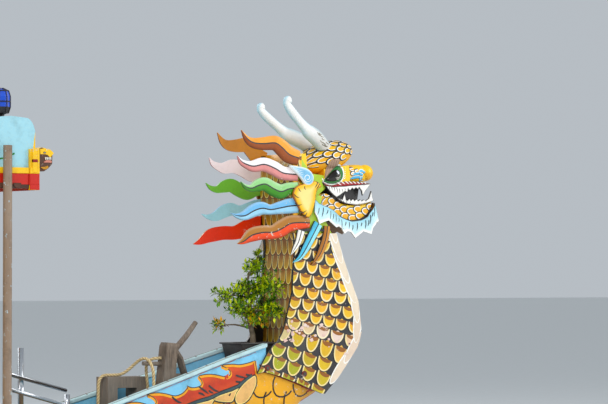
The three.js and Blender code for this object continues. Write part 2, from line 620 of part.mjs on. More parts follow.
function makeTail() {
  const body = leaf([
    [-5900, 700, 130], [-6120, 1150, 150], [-6280, 1500, 135], [-6330, 1800, 110], [-6260, 2080, 90],
    [-6120, 2300, 75], [-6080, 2480, 55], [-6180, 2680, 4],
  ]);
  const flames = [
    [[-6180, 1300, 60], [-6420, 1420, 70], [-6560, 1640, 4]],
    [[-6300, 1650, 60], [-6500, 1800, 62], [-6580, 2030, 4]],
    [[-6280, 2000, 55], [-6440, 2180, 50], [-6460, 2400, 4]],
  ].map(leaf);
  const board = join(...[body, ...flames].map((line) => sideBoard(line, -28, 28)));
  const [x, , rail, , deck] = STATIONS[0];
  const hull = loft(STATIONS.slice(0, 3).map(([sx, , , keel, sd]) => [
    [sx - GAP, -200, keel - 400], [sx - GAP, 200, keel - 400], [sx - GAP, 200, sd + GAP],
    [sx - GAP, -200, sd + GAP],
  ]));
  const slot = box(x - 20, x + 76, -200, 200, deck - 400, rail + GAP);
  add("tail", cut(board, hull, slot), 0xe0a52e);
}

function makeDrive() {
  const { fore, aft, radius, propeller } = SHAFT;
  const tilt = Math.atan2(fore[1] - aft[1], fore[0] - aft[0]);
  const shaft = limb([[fore[0], 0, fore[1], radius], [aft[0], 0, aft[1], radius]], 10);
  const bracket = sideBoard([[-4930, -40], [-4850, -60], [-4900, -285], [-4960, -288]], -12, 12);
  add("shaft", cut(join(shaft, bracket), hullBottom()), 0x8e8f8c, 0.4, 0.8);
  const hub = drum(SCREW.hub, 90, "x", 0, 0, 0, 12);
  const blades = Array.from({ length: SCREW.blades }, (_, k) => {
    const long = SCREW.reach - SCREW.foot;
    const blade = new THREE.BoxGeometry(SCREW.thick, SCREW.wide, long).rotateZ(0.6);
    return blade.translate(0, 0, SCREW.reach - long / 2).rotateX((2 * k * Math.PI) / SCREW.blades);
  });
  const screw = join(hub, ...blades).rotateY(-tilt).translate(propeller[0], 0, propeller[1]);
  add("propeller", screw, 0xb08a3e, 0.3, 0.9);
  const { x, stock, top, low, high } = RUDDER;
  const blade = sideBoard([[x - 330, high - 40], [x + 90, high - 10], [x + 90, low + 40], [x + 40, low],
    [x - 260, low], [x - 330, low + 60]], -14, 14);
  const arm = box(x - 30, x + 260, -28, 28, top - 50, top - 6);
  add("rudder", join(blade, drum(stock, top - low - 40, "z", x, 0, (top + low + 40) / 2, 14), arm), 0x6b5a4a);
}

// A filled copy of the hull's after bottom, grown downwards by the gap.
function hullBottom() {
  return loft(STATIONS.slice(0, 6).map((row) => {
    const [x, , , keel, deck] = row;
    const sideOf = HULL_RING.map((share) => {
      const z = keel + share * (deck - keel);
      return [x, halfBreadth(row, z) + GAP, z - GAP];
    });
    return [...sideOf, ...sideOf.map(([px, py, pz]) => [px, -py, pz]).reverse()];
  }));
}

function makeEngine() {
  const low = DECK_Z + GAP;
  add("engine", box(ENGINE.aft, ENGINE.fore, -ENGINE.half, ENGINE.half, low, low + ENGINE.high), 0x3d4a44,
    0.6, 0.5);
  const { aft, fore, half, high, board } = ENGINE_BOX;
  const outer = box(aft, fore, -half, half, low, low + high);
  const inner = box(aft + board, fore - board, -half + board, half - board, low - 20, low + high + 20);
  add("engine_box", cut(outer, inner), 0x8b6a45, 0.8);
  const lidLow = low + high + 5;
  add("engine_lid", box(aft - 15, fore, -half - 15, half + 15, lidLow, lidLow + board), 0x8b6a45, 0.8);
}

// Deck fittings

function makeForedeck() {
  const low = DECK_Z + GAP;
  const { y, peg } = MOORING_POST;
  const post = limb([[3775, y, low, 84], [3790, y, 1000, 84], [3832, y, 1395, 78], [3835, y, 1425, 66]], 4);
  const ends = [[peg.fore, peg.y, peg.z, peg.radius], [peg.aft, peg.y, peg.z + peg.rise, peg.radius]];
  const arm = limb(ends, 10);
  const chock = box(3790, 3925, y - 40, y + 40, low, 1174);
  const below = box(3000, 4340, -700, 700, -100, low);
  add("mooring_post", cut(join(post, chock, arm), below), 0x75685c, 0.9);
  const { aft, fore, starboard, port, top, plank } = CRATE;
  const crate = [
    box(aft, aft + plank, starboard, port, low, top), box(fore - plank, fore, starboard, port, low, top),
    box(aft, fore, starboard, port, top - 90, top), box(aft, fore, starboard, port, low + 100, low + 180),
  ];
  add("crate", join(...crate), 0x7f7466, 0.9);
  const stick = limb([[4230, 60, 1585, 20], [4120, 40, 1470, 24], [3960, 10, 1330, 26]], 6);
  const leg = limb([[3975, 0, 1370, 28], [4040, 10, 1290, 30], [4160, 40, 1000, 28], [4200, 50, low, 28]], 6);
  add("crutch", cut(join(stick, leg), below), 0x4a3f38, 0.9);
  const newels = [[2560, low], [2700, low]].map(([x, z]) => drum(24, 1390 - z, "z", x, 280, (1390 + z) / 2, 12));
  const handrails = [[2630, 1160], [2630, 1040]].map(([x, z]) =>
    limb([[x - 70, 280, z + 30, 17], [3100, 240, z - 120, 17]], 8));
  const end = drum(22, 1010 - low, "z", 3110, 240, (1010 + low) / 2, 12);
  add("boarding_rail", join(...newels, ...handrails, end), 0xc9ccce, 0.25, 0.9);
}

// Bow deck height under the planter
const bowDeck = (x) => 1205 + (30 * (x - BOW_DECK_X)) / 300;
function makePlanter() {
  const { x, foot, rim, wall, high, narrow } = PLANTER;
  const tray = (inset, from, to) => loft([[from, foot - inset], [to, rim - 16 - inset]].map(([z, half]) =>
    [[-1, -1], [1, -1], [1, 1], [-1, 1]].map(([u, v]) => [u * half, v * half * narrow, z])));
  const lip = box(-rim, rim, -rim * narrow, rim * narrow, high - 14, high);
  const outer = join(tray(0, 0, high - 10), lip);
  const pot = cut(outer, tray(wall, high - 60, high + 30));
  const base = bowDeck(x + foot) + 3 * GAP + 2;
  add("planter", pot.translate(x, 0, base), 0x2b211d, 0.7);
  const soil = base + high - 60 + GAP;
  const earth = box(-300, 300, -300, 300, -200, 0);
  const trunk = limb([[0, 0, -20, 34], [20, 12, 120, 28], [-30, -10, 260, 24], [-10, 10, 420, 18],
    [-40, 0, 560, 10]], 6);
  const crowns = [[10, 0, 330, 175], [-190, -40, 240, 130], [-300, 60, 380, 120], [-120, 20, 560, 150],
    [-230, 0, 480, 150], [-60, 0, 700, 120]].map(([cx, cy, cz, r]) =>
    new THREE.IcosahedronGeometry(r, 1).translate(cx, cy, cz));
  add("bonsai", cut(join(trunk, ...crowns), earth).translate(x, 0, soil), 0x4c6b2c, 0.9);
}

function makeRope() {
  const curve = new THREE.CatmullRomCurve3(ROPE_ROUTE.map((q) => new THREE.Vector3(...q)), false,
    "centripetal");
  const section = new THREE.Shape().absarc(0, 0, ROPE.radius, 0, 2 * Math.PI);
  const tube = new THREE.ExtrudeGeometry(section, {
    steps: ROPE.steps, curveSegments: 5, bevelEnabled: false, extrudePath: curve,
  });
  add("rope", tube, 0xc2ab84, 0.9);
  const { x, y, inner, outer, high } = ROPE.coil;
  const low = DECK_Z + 2 * GAP;
  const ring = new THREE.LatheGeometry([
    [inner, low], [outer, low], [outer, low + high], [inner, low + high], [inner, low],
  ].map(([r, z]) => new THREE.Vector2(r, z)), 20).rotateX(Math.PI / 2);
  add("rope_coil", ring.translate(x, y, 0), 0xc2ab84, 0.9);
}

function makeHelm() {
  const low = PLATFORM.top + GAP;
  const console = join(box(1760, 1960, 380, 700, low, 1380), box(1700, 1761, 520, 560, 1270, 1320));
  add("helm_console", console, 0x9fcfe0);
  const rim = new THREE.TorusGeometry(175, 14, 8, 20).rotateY(Math.PI / 2);
  const spokes = [0, 1, 2].map((k) => box(-9, 9, -12, 12, 10, 170).rotateX((k * 2 * Math.PI) / 3));
  const hub = drum(36, 40, "x", 0, 0, 0, 12);
  add("helm_wheel", join(rim, hub, ...spokes).translate(1700 - 20 - 5, 540, 1295), 0x221d1b, 0.4);
}

makeHull();
makeBulwarks();
makeCabin();
makeRoof();
makePosts();
makeLamps();
makeNeck();
makeHead();
makeManes();
makeEars();
add("beard", beardShape(0), 0xbfe0ea);
makeTail();
makeDrive();
makeEngine();
makeForedeck();
makePlanter();
makeRope();
makeHelm();

export default boat;
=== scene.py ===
"""River dragon boat: painted carving, planking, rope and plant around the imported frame.

Metres. x points forward, y to port, z up, and z = 0 is the waterline.
"""

import json
import math
import random

import bmesh
import bpy
from mathutils import Vector
from mathutils.bvhtree import BVHTree
from mathutils.geometry import delaunay_2d_cdt, tessellate_polygon
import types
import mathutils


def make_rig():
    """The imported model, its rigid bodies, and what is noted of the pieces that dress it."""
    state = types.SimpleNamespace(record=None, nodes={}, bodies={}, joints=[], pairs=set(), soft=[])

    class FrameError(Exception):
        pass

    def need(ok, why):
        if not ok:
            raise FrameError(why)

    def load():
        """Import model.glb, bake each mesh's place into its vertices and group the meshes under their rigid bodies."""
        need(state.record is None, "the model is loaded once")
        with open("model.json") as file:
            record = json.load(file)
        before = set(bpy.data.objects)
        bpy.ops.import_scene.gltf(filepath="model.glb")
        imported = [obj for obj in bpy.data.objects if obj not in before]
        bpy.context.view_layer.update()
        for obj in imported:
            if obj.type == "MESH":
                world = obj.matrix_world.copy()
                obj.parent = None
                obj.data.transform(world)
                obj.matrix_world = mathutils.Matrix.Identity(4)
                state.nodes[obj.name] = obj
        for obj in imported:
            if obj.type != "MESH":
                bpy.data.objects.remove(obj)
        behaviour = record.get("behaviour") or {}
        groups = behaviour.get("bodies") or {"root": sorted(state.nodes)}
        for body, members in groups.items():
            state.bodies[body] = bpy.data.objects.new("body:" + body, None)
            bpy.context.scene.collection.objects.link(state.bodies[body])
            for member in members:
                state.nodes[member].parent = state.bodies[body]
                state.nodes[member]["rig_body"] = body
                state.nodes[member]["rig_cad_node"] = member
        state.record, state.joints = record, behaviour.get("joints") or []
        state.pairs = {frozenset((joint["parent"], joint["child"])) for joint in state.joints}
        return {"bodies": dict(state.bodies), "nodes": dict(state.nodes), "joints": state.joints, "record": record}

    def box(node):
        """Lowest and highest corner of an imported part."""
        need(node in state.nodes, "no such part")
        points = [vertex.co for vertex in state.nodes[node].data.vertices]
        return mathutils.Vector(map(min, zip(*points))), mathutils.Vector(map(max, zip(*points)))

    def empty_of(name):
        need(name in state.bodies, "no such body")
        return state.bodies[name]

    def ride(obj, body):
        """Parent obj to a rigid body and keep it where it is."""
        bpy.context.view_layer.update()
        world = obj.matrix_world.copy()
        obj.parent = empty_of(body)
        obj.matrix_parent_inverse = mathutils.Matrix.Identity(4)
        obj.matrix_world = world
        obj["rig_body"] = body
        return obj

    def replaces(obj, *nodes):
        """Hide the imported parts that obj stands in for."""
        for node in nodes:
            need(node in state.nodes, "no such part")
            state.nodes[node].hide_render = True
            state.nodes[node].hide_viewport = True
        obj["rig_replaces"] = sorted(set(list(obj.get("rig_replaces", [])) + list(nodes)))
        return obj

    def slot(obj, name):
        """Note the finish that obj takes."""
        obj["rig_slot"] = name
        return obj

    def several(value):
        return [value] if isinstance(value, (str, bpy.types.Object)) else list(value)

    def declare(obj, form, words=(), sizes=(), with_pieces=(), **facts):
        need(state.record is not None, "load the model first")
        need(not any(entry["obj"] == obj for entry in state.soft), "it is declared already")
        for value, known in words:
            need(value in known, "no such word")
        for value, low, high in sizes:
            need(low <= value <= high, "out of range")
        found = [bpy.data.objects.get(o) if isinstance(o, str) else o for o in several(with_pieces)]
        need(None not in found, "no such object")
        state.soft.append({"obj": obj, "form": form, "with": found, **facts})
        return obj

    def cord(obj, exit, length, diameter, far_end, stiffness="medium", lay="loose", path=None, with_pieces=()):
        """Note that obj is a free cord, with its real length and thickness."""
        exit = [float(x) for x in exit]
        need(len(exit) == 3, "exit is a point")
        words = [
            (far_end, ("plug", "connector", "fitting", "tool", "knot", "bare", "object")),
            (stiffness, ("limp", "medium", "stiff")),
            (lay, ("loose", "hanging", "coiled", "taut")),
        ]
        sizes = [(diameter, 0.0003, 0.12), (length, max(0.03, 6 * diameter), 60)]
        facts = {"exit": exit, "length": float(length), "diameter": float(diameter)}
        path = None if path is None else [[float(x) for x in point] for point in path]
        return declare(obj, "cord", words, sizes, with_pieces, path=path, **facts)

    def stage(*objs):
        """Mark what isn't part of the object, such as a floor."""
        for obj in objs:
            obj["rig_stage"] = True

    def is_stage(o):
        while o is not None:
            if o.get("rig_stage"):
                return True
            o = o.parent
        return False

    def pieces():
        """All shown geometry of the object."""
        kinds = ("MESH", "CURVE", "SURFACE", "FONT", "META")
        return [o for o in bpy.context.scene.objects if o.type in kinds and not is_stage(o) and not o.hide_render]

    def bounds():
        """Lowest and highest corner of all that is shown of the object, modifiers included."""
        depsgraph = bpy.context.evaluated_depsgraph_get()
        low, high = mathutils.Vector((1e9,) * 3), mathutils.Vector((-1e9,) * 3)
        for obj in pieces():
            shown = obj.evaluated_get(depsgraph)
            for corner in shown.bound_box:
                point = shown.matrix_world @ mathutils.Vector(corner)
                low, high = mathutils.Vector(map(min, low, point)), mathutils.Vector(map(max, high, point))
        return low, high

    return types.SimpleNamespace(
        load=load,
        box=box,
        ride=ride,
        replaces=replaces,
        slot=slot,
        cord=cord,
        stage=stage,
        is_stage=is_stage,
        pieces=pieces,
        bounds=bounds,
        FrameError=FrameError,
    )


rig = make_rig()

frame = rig.load()
CAD_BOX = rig.bounds()
NODES = frame["nodes"]
SIDES = {"starboard": -1, "port": 1}

# Camera: 25 m from the neck, 2 m above the water, 35 degrees aft of abeam
CAMERA_AT = (-9.26432, -20.77138, 2.0)
CAMERA_TILT = 91.3367
CAMERA_TURN = -35
CAMERA_LENS = 177.63


def rgb(code):
    """A colour written as six hex digits, as linear values."""
    shares = [int(code[k:k + 2], 16) / 255 for k in (0, 2, 4)]
    return tuple(s / 12.92 if s <= 0.04045 else ((s + 0.055) / 1.055) ** 2.4 for s in shares)


def blend(a, b, share):
    return tuple(p + (q - p) * share for p, q in zip(a, b))


INK = rgb("14141c")
CREAM = rgb("f3dc94")
WHITE = rgb("f2f1ec")
OCHRE = rgb("f0ab10")
GOLD = rgb("fbc918")
OLIVE = rgb("a3a91e")
BROWN = rgb("8e5a2b")
BELLY = rgb("eadcc6")
PALE_BLUE = rgb("a6d2de")
SKY = rgb("8cc9e8")
RED = rgb("c23a22")
TEAL = rgb("29454a")
TAN = rgb("e6bb83")


def make_camera():
    data = bpy.data.cameras.new("camera")
    data.lens = CAMERA_LENS
    data.sensor_width = 36
    data.clip_end = 300
    camera = bpy.data.objects.new("camera", data)
    camera.location = CAMERA_AT
    camera.rotation_euler = [math.radians(a) for a in (CAMERA_TILT, 0, CAMERA_TURN)]
    bpy.context.scene.collection.objects.link(camera)
    bpy.context.scene.camera = camera


# Shapes

class Shape:
    """A mesh under construction: points, faces, and the paint at each corner of each face."""

    def __init__(self):
        self.points = []
        self.faces = []
        self.paints = []

    def ring(self, points):
        first = len(self.points)
        self.points.extend(tuple(p) for p in points)
        return list(range(first, len(self.points)))

    def face(self, corners, paint):
        self.faces.append(tuple(corners))
        self.paints.append(list(paint) if isinstance(paint, list) else [paint] * len(corners))

    def bridge(self, a, b, paint, paint_b=None, closed=True):
        """Quads between two rings. A paint is one colour, or a list with one for each point."""
        paint_b = paint if paint_b is None else paint_b
        for j in range(len(a) if closed else len(a) - 1):
            k = (j + 1) % len(a)
            self.face((a[j], a[k], b[k], b[j]), [at_point(p, i) for p, i in
                                                 ((paint, j), (paint, k), (paint_b, k), (paint_b, j))])

    def fan(self, ring, centre, paint, paint_centre=None, flip=False):
        """Triangles from a closed ring to a point."""
        (middle,) = self.ring([centre])
        if paint_centre is None:
            paint_centre = at_point(paint, 0)
        way = -1 if flip else 1
        for j in range(len(ring)):
            k = (j + 1) % len(ring)
            paints = [at_point(paint, j), at_point(paint, k), paint_centre]
            self.face((ring[j], ring[k], middle)[::way], paints[::way])

    def cap(self, ring, paint, flip=False):
        """Fills a flat ring of any outline."""
        for triangle in tessellate_polygon([[Vector(self.points[k]) for k in ring]]):
            corners = [ring[k] for k in triangle]
            self.face(corners[::-1] if flip else corners, paint)

    def loft(self, rings, paints):
        """A closed body over rings of points, with capped ends. paints has one entry for each ring."""
        made = [self.ring(r) for r in rings]
        for k in range(len(made) - 1):
            self.bridge(made[k], made[k + 1], paints[k], paints[k + 1])
        for ring, paint, flip in ((made[0], paints[0], True), (made[-1], paints[-1], False)):
            centre = sum((Vector(self.points[k]) for k in ring), Vector()) / len(ring)
            self.fan(ring, centre, paint, flip=flip)

    def tube(self, path, radii, paint, sides=8):
        """A round limb along a path."""
        path = [Vector(p) for p in path]
        radii = radii if isinstance(radii, (list, tuple)) else [radii] * len(path)
        paints = paint if isinstance(paint, list) else [paint] * len(path)
        rings, across = [], None
        for k, p in enumerate(path):
            before, after = beside(path, k)
            along = (after - before).normalized()
            across = (across or along.orthogonal()).copy()
            across = (across - along * across.dot(along)).normalized()
            up = along.cross(across)
            rings.append([p + (across * c + up * s) * radii[k] for c, s in circle(0, 0, 1, sides)])
        self.loft(rings, paints)

    def slab(self, outline, place, low, high, paint, edge=None, chamfer=0.0):
        """A board of any outline between two heights of place(u, v, h), its front edge eased."""
        edge = paint if edge is None else edge
        back = self.ring([place(u, v, low) for u, v in outline])
        step = self.ring([place(u, v, high - chamfer) for u, v in outline])
        self.bridge(back, step, edge)
        inner = inset(outline, chamfer) if chamfer else outline
        front = self.ring([place(u, v, high) for u, v in inner])
        if chamfer:
            self.bridge(step, front, edge, paint)
        for ring, colour, flip in ((front, paint, False), (back, edge, True)):
            flat = [Vector((u, v, 0)) for u, v in inner]
            for triangle in tessellate_polygon([flat]):
                corners = [ring[k] for k in triangle]
                self.face(corners[::-1] if flip else corners, colour)

    def stroke(self, line, place, widths, paint, low, high):
        """A raised brush line along points u, v, thin at its ends where the widths say so."""
        widths = widths if isinstance(widths, (list, tuple)) else [widths] * len(line)
        edges = ([], [])
        for k, (u, v) in enumerate(line):
            (u0, v0), (u1, v1) = beside(line, k)
            length = math.hypot(u1 - u0, v1 - v0) or 1e-9
            across = (-(v1 - v0) / length * widths[k] / 2, (u1 - u0) / length * widths[k] / 2)
            for sign, side in ((1, edges[0]), (-1, edges[1])):
                side.append((u + sign * across[0], v + sign * across[1]))
        self.ribbon(*edges, place, paint, low, high)

    def ribbon(self, left, right, place, paint, low, high):
        """A thin closed strip between two lines of u, v points of equal count."""
        rows = [self.ring([place(u, v, h) for u, v in line])
                for line, h in ((left, low), (left, high), (right, high), (right, low))]
        for a, b in ((rows[0], rows[1]), (rows[1], rows[2]), (rows[2], rows[3])):
            self.bridge(a, b, paint, closed=False)
        for k in (0, -1):
            self.face([row[k] for row in rows], paint)


def at_point(paint, k):
    """A ring's paint at one of its points."""
    return paint[k] if isinstance(paint, list) else paint


def beside(line, k):
    """The points before and after one point of a line, or the point itself at an end."""
    return line[max(k - 1, 0)], line[min(k + 1, len(line) - 1)]


def circle(u, v, radius, count):
    """Points round a circle."""
    return [(u + radius * math.cos(a), v + radius * math.sin(a))
            for a in (2 * math.pi * k / count for k in range(count))]


def half_turn(count):
    """Cosine and sine at even steps through half a turn."""
    return [(math.cos(a), math.sin(a)) for a in (math.pi * k / count for k in range(count + 1))]


def rectangle(u0, v0, u1, v1):
    return [(u0, v0), (u1, v0), (u1, v1), (u0, v1)]


def inset(outline, distance):
    """The outline moved inwards by a distance, whichever way round it runs."""
    count = len(outline)
    area = sum(outline[k][0] * outline[(k + 1) % count][1] - outline[(k + 1) % count][0] * outline[k][1]
               for k in range(count))
    turn = 1 if area > 0 else -1
    moved = []
    for k in range(count):
        (u0, v0), (u, v), (u1, v1) = outline[k - 1], outline[k], outline[(k + 1) % count]
        a = Vector((u - u0, v - v0)).normalized()
        b = Vector((u1 - u, v1 - v)).normalized()
        normal = Vector((-(a.y + b.y), a.x + b.x)) * turn
        normal = normal.normalized() if normal.length > 1e-6 else Vector((-a.y, a.x)) * turn
        share = min(1.8, 1 / max(0.35, normal.dot(Vector((-a.y, a.x)) * turn)))
        moved.append((u + normal.x * distance * share, v + normal.y * distance * share))
    return moved


def curve(points, count, closed=False):
    """A smooth line through points of any dimension, with count steps between each two."""
    total = len(points)
    at = lambda k: Vector(points[k % total] if closed else points[min(max(k, 0), total - 1)])
    line = []
    for k in range(total if closed else total - 1):
        p0, p1, p2, p3 = at(k - 1), at(k), at(k + 1), at(k + 2)
        for j in range(count):
            t = j / count
            line.append(tuple(0.5 * (2 * p1 + (p2 - p0) * t + (2 * p0 - 5 * p1 + 4 * p2 - p3) * t ** 2
                                     + (3 * p1 - p0 - 3 * p2 + p3) * t ** 3)))
    return line if closed else line + [tuple(at(total - 1))]


def built(shape, name, finish, crease):
    """Turns a shape into an object with its paint and one finish."""
    mesh = bpy.data.meshes.new(name)
    mesh.from_pydata(shape.points, [], shape.faces)
    colours = mesh.color_attributes.new("paint", "FLOAT_COLOR", "CORNER")
    flat = [value for face in shape.paints for paint in face for value in (*paint, 1.0)]
    colours.data.foreach_set("color", flat)
    mesh.validate()
    whole = bmesh.new()
    whole.from_mesh(mesh)
    bmesh.ops.remove_doubles(whole, verts=whole.verts, dist=0.00001)
    bmesh.ops.recalc_face_normals(whole, faces=whole.faces)
    whole.to_mesh(mesh)
    whole.free()
    mesh.materials.append(finish)
    mesh.polygons.foreach_set("use_smooth", [True] * len(mesh.polygons))
    mesh.set_sharp_from_angle(angle=math.radians(crease))
    piece = bpy.data.objects.new(name, mesh)
    bpy.context.scene.collection.objects.link(piece)
    return piece


def make(shape, name, slot, finish=None, body="boat", replaces=(), crease=38):
    """Turns a shape into a named piece of the boat. Its finish has the slot's name, if none is given."""
    piece = built(shape, name, FINISH[finish or slot], crease)
    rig.ride(piece, body)
    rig.slot(piece, slot)
    if replaces:
        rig.replaces(piece, *replaces)
    return piece


def on_side(side, y):
    """Places u, v as x, z on a board that stands h proud of a distance y from the centreline."""
    return lambda u, v, h=0.0: (u, side * (y + h), v)


def flat_outline(node, direction):
    """The outlines, as x, z points, of a node's outermost flat face towards a direction along y."""
    mesh = NODES[node].data
    faces = [p for p in mesh.polygons if p.normal.y * direction > 0.999]
    reach = max(p.center.y * direction for p in faces)
    key = lambda k: (round(mesh.vertices[k].co.x, 4), round(mesh.vertices[k].co.z, 4))
    edges = set()
    for p in faces:
        if p.center.y * direction > reach - 0.001:
            corners = [key(k) for k in p.vertices]
            for a, b in zip(corners, corners[1:] + corners[:1]):
                if (b, a) in edges:
                    edges.remove((b, a))
                elif a != b:
                    edges.add((a, b))
    after = dict(edges)
    loops = []
    while after:
        start, here = after.popitem()
        loop = [start]
        while here != start and here in after:
            loop.append(here)
            here = after.pop(here)
        loops.append(loop)
    size = lambda loop: abs(sum(a[0] * b[1] - b[0] * a[1] for a, b in zip(loop, loop[1:] + loop[:1])))
    return sorted(loops, key=size, reverse=True)


def inside(outline, u, v):
    """Whether a point lies in an outline."""
    found = False
    for (u0, v0), (u1, v1) in zip(outline, outline[1:] + outline[:1]):
        if (v0 > v) != (v1 > v) and u < u0 + (v - v0) / (v1 - v0) * (u1 - u0):
            found = not found
    return found


def nearest(outline, u, v):
    """How far an outline is from a point, and the outline's nearest point."""
    found = []
    for (u0, v0), (u1, v1) in zip(outline, outline[1:] + outline[:1]):
        du, dv = u1 - u0, v1 - v0
        t = min(1, max(0, ((u - u0) * du + (v - v0) * dv) / max(du * du + dv * dv, 1e-12)))
        spot = (u0 + t * du, v0 + t * dv)
        found.append((math.hypot(u - spot[0], v - spot[1]), spot))
    return min(found, key=lambda pair: pair[0])


def held(outline, u, v):
    """The point itself if it lies in the outline, or else the outline's nearest point."""
    return (u, v) if inside(outline, u, v) else nearest(outline, u, v)[1]


def drawn_in(outline, distance, clearance):
    """The outline moved inwards, without the points that come too close to its rim."""
    return [p for p in inset(outline, distance)
            if inside(outline, *p) and nearest(outline, *p)[0] > clearance]


def mesh_of(*nodes):
    """The points and faces of some frame nodes together."""
    points, faces = [], []
    for node in nodes:
        first = len(points)
        points += [v.co.copy() for v in NODES[node].data.vertices]
        faces += [[first + k for k in p.vertices] for p in NODES[node].data.polygons]
    return points, faces


# Finishes

class Finish:
    """A material under construction, with short calls for its nodes."""

    def __init__(self, name, roughness=0.5, metallic=0.0):
        self.made = bpy.data.materials.new(name)
        self.made.use_nodes = True
        self.nodes = self.made.node_tree.nodes
        self.links = self.made.node_tree.links
        self.shader = self.nodes["Principled BSDF"]
        self.shader.inputs["Roughness"].default_value = roughness
        self.shader.inputs["Metallic"].default_value = metallic
        self.where = self.nodes.new("ShaderNodeTexCoord").outputs["Object"]

    def feed(self, socket, value):
        if isinstance(value, bpy.types.NodeSocket):
            self.links.new(value, socket)
        elif isinstance(value, tuple) and len(value) == 3 and socket.type == "RGBA":
            socket.default_value = (*value, 1)
        else:
            socket.default_value = value

    def node(self, kind, output, inputs, **settings):
        made = self.nodes.new(kind)
        for key, value in settings.items():
            setattr(made, key, value)
        for key, value in inputs.items():
            self.feed(made.inputs[key], value)
        return made.outputs[output]

    def stretched(self, stretch):
        return self.node("ShaderNodeVectorMath", "Vector", {0: self.where, 1: stretch}, operation="MULTIPLY")

    def noise(self, scale, detail=4.0, stretch=None, roughness=0.6):
        where = self.stretched(stretch) if stretch else self.where
        return self.node("ShaderNodeTexNoise", "Fac", {
            "Vector": where, "Scale": scale, "Detail": detail, "Roughness": roughness})

    def ramp(self, value, low, high, to_low=0.0, to_high=1.0):
        return self.node("ShaderNodeMapRange", "Result", {
            "Value": value, "From Min": low, "From Max": high, "To Min": to_low, "To Max": to_high})

    def maths(self, operation, a, b=0.0):
        return self.node("ShaderNodeMath", "Value", {0: a, 1: b}, operation=operation)

    def mix(self, share, a, b, way="MIX"):
        made = self.nodes.new("ShaderNodeMix")
        made.data_type = "RGBA"
        made.blend_type = way
        self.feed(made.inputs["Factor"], share)
        self.feed([s for s in made.inputs if s.name == "A" and s.type == "RGBA"][0], a)
        self.feed([s for s in made.inputs if s.name == "B" and s.type == "RGBA"][0], b)
        return [s for s in made.outputs if s.type == "RGBA"][0]

    def paint(self):
        return self.node("ShaderNodeAttribute", "Color", {}, attribute_name="paint")

    def bump(self, height, distance, strength=1.0, over=None):
        inputs = {"Height": height, "Distance": distance, "Strength": strength}
        if over is not None:
            inputs["Normal"] = over
        return self.node("ShaderNodeBump", "Normal", inputs)

    def finish(self, colour=None, roughness=None, normal=None):
        for name, value in (("Base Color", colour), ("Roughness", roughness), ("Normal", normal)):
            if value is not None:
                self.feed(self.shader.inputs[name], value)
        return self.made


RICHNESS = 1.16  # saturation of every paint in the light of this scene


def oil_paint(name, colour=None, gloss=0.42, chips=0.35, dirt=0.3, stroke=(1, 1, 1), under=None):
    """Brushed oil paint on wood: strokes, faded patches, grime, and chips down to the primer."""
    f = Finish(name)
    base = f.paint() if colour is None else colour
    strokes = f.noise(55, 3, stroke, 0.55)
    fade = f.ramp(f.noise(2.3, 3), 0.38, 0.72)
    grime = f.noise(7, 8, None, 0.68)
    base = f.mix(f.ramp(strokes, 0.3, 0.75, 0.0, 0.22), base, (0.93, 0.90, 0.84), "MULTIPLY")
    base = f.mix(f.ramp(strokes, 0.45, 0.8, 0.0, 0.16), base, rgb("fff4dc"), "SOFT_LIGHT")
    base = f.mix(f.maths("MULTIPLY", fade, 0.06), base, rgb("d9d4c6"))
    base = f.mix(f.ramp(grime, 0.5, 0.78, 0.0, dirt), base, rgb("4b3a28"), "MULTIPLY")
    flaking = f.noise(24, 9, None, 0.72)
    zone = f.noise(1.7, 2)
    base = f.node("ShaderNodeHueSaturation", "Color", {"Saturation": RICHNESS, "Color": base})
    flaked = f.ramp(zone, 0.62 - 0.2 * chips, 0.70 - 0.2 * chips)
    chip = f.maths("MULTIPLY", f.ramp(flaking, 0.60, 0.63), flaked)
    base = f.mix(chip, base, under or rgb("cfc6b6"))
    rough = f.ramp(grime, 0.3, 0.8, gloss - 0.08, gloss + 0.2)
    rough = f.maths("ADD", rough, f.maths("MULTIPLY", chip, 0.25))
    relief = f.maths("SUBTRACT", f.maths("MULTIPLY", strokes, 0.5), chip)
    return f.finish(base, rough, f.bump(relief, 0.0012, 0.6))


def timber(name, light, dark, along=(1, 14, 14), weather=0.2, gloss=0.6):
    """Sawn or planed wood with its grain along one axis."""
    f = Finish(name)
    grain = f.noise(9, 8, along, 0.62)
    rings = f.noise(1.6, 3, along, 0.4)
    fibres = f.noise(70, 4, along, 0.7)
    base = f.mix(f.ramp(grain, 0.32, 0.7), dark, light)
    base = f.mix(f.ramp(rings, 0.35, 0.7, 0.0, 0.5), base, dark, "MULTIPLY")
    base = f.mix(f.ramp(f.noise(1.3, 4), 0.35, 0.75, 0.0, weather), base, rgb("9c958a"))
    stain = f.ramp(f.noise(3.2, 8, None, 0.7), 0.55, 0.85, 0.0, 0.55)
    base = f.mix(stain, base, rgb("3a2f26"), "MULTIPLY")
    rough = f.ramp(fibres, 0.3, 0.7, gloss - 0.08, gloss + 0.14)
    height = f.maths("ADD", f.maths("MULTIPLY", fibres, 0.6), f.maths("MULTIPLY", grain, 0.5))
    return f.finish(base, rough, f.bump(height, 0.0016, 0.7))


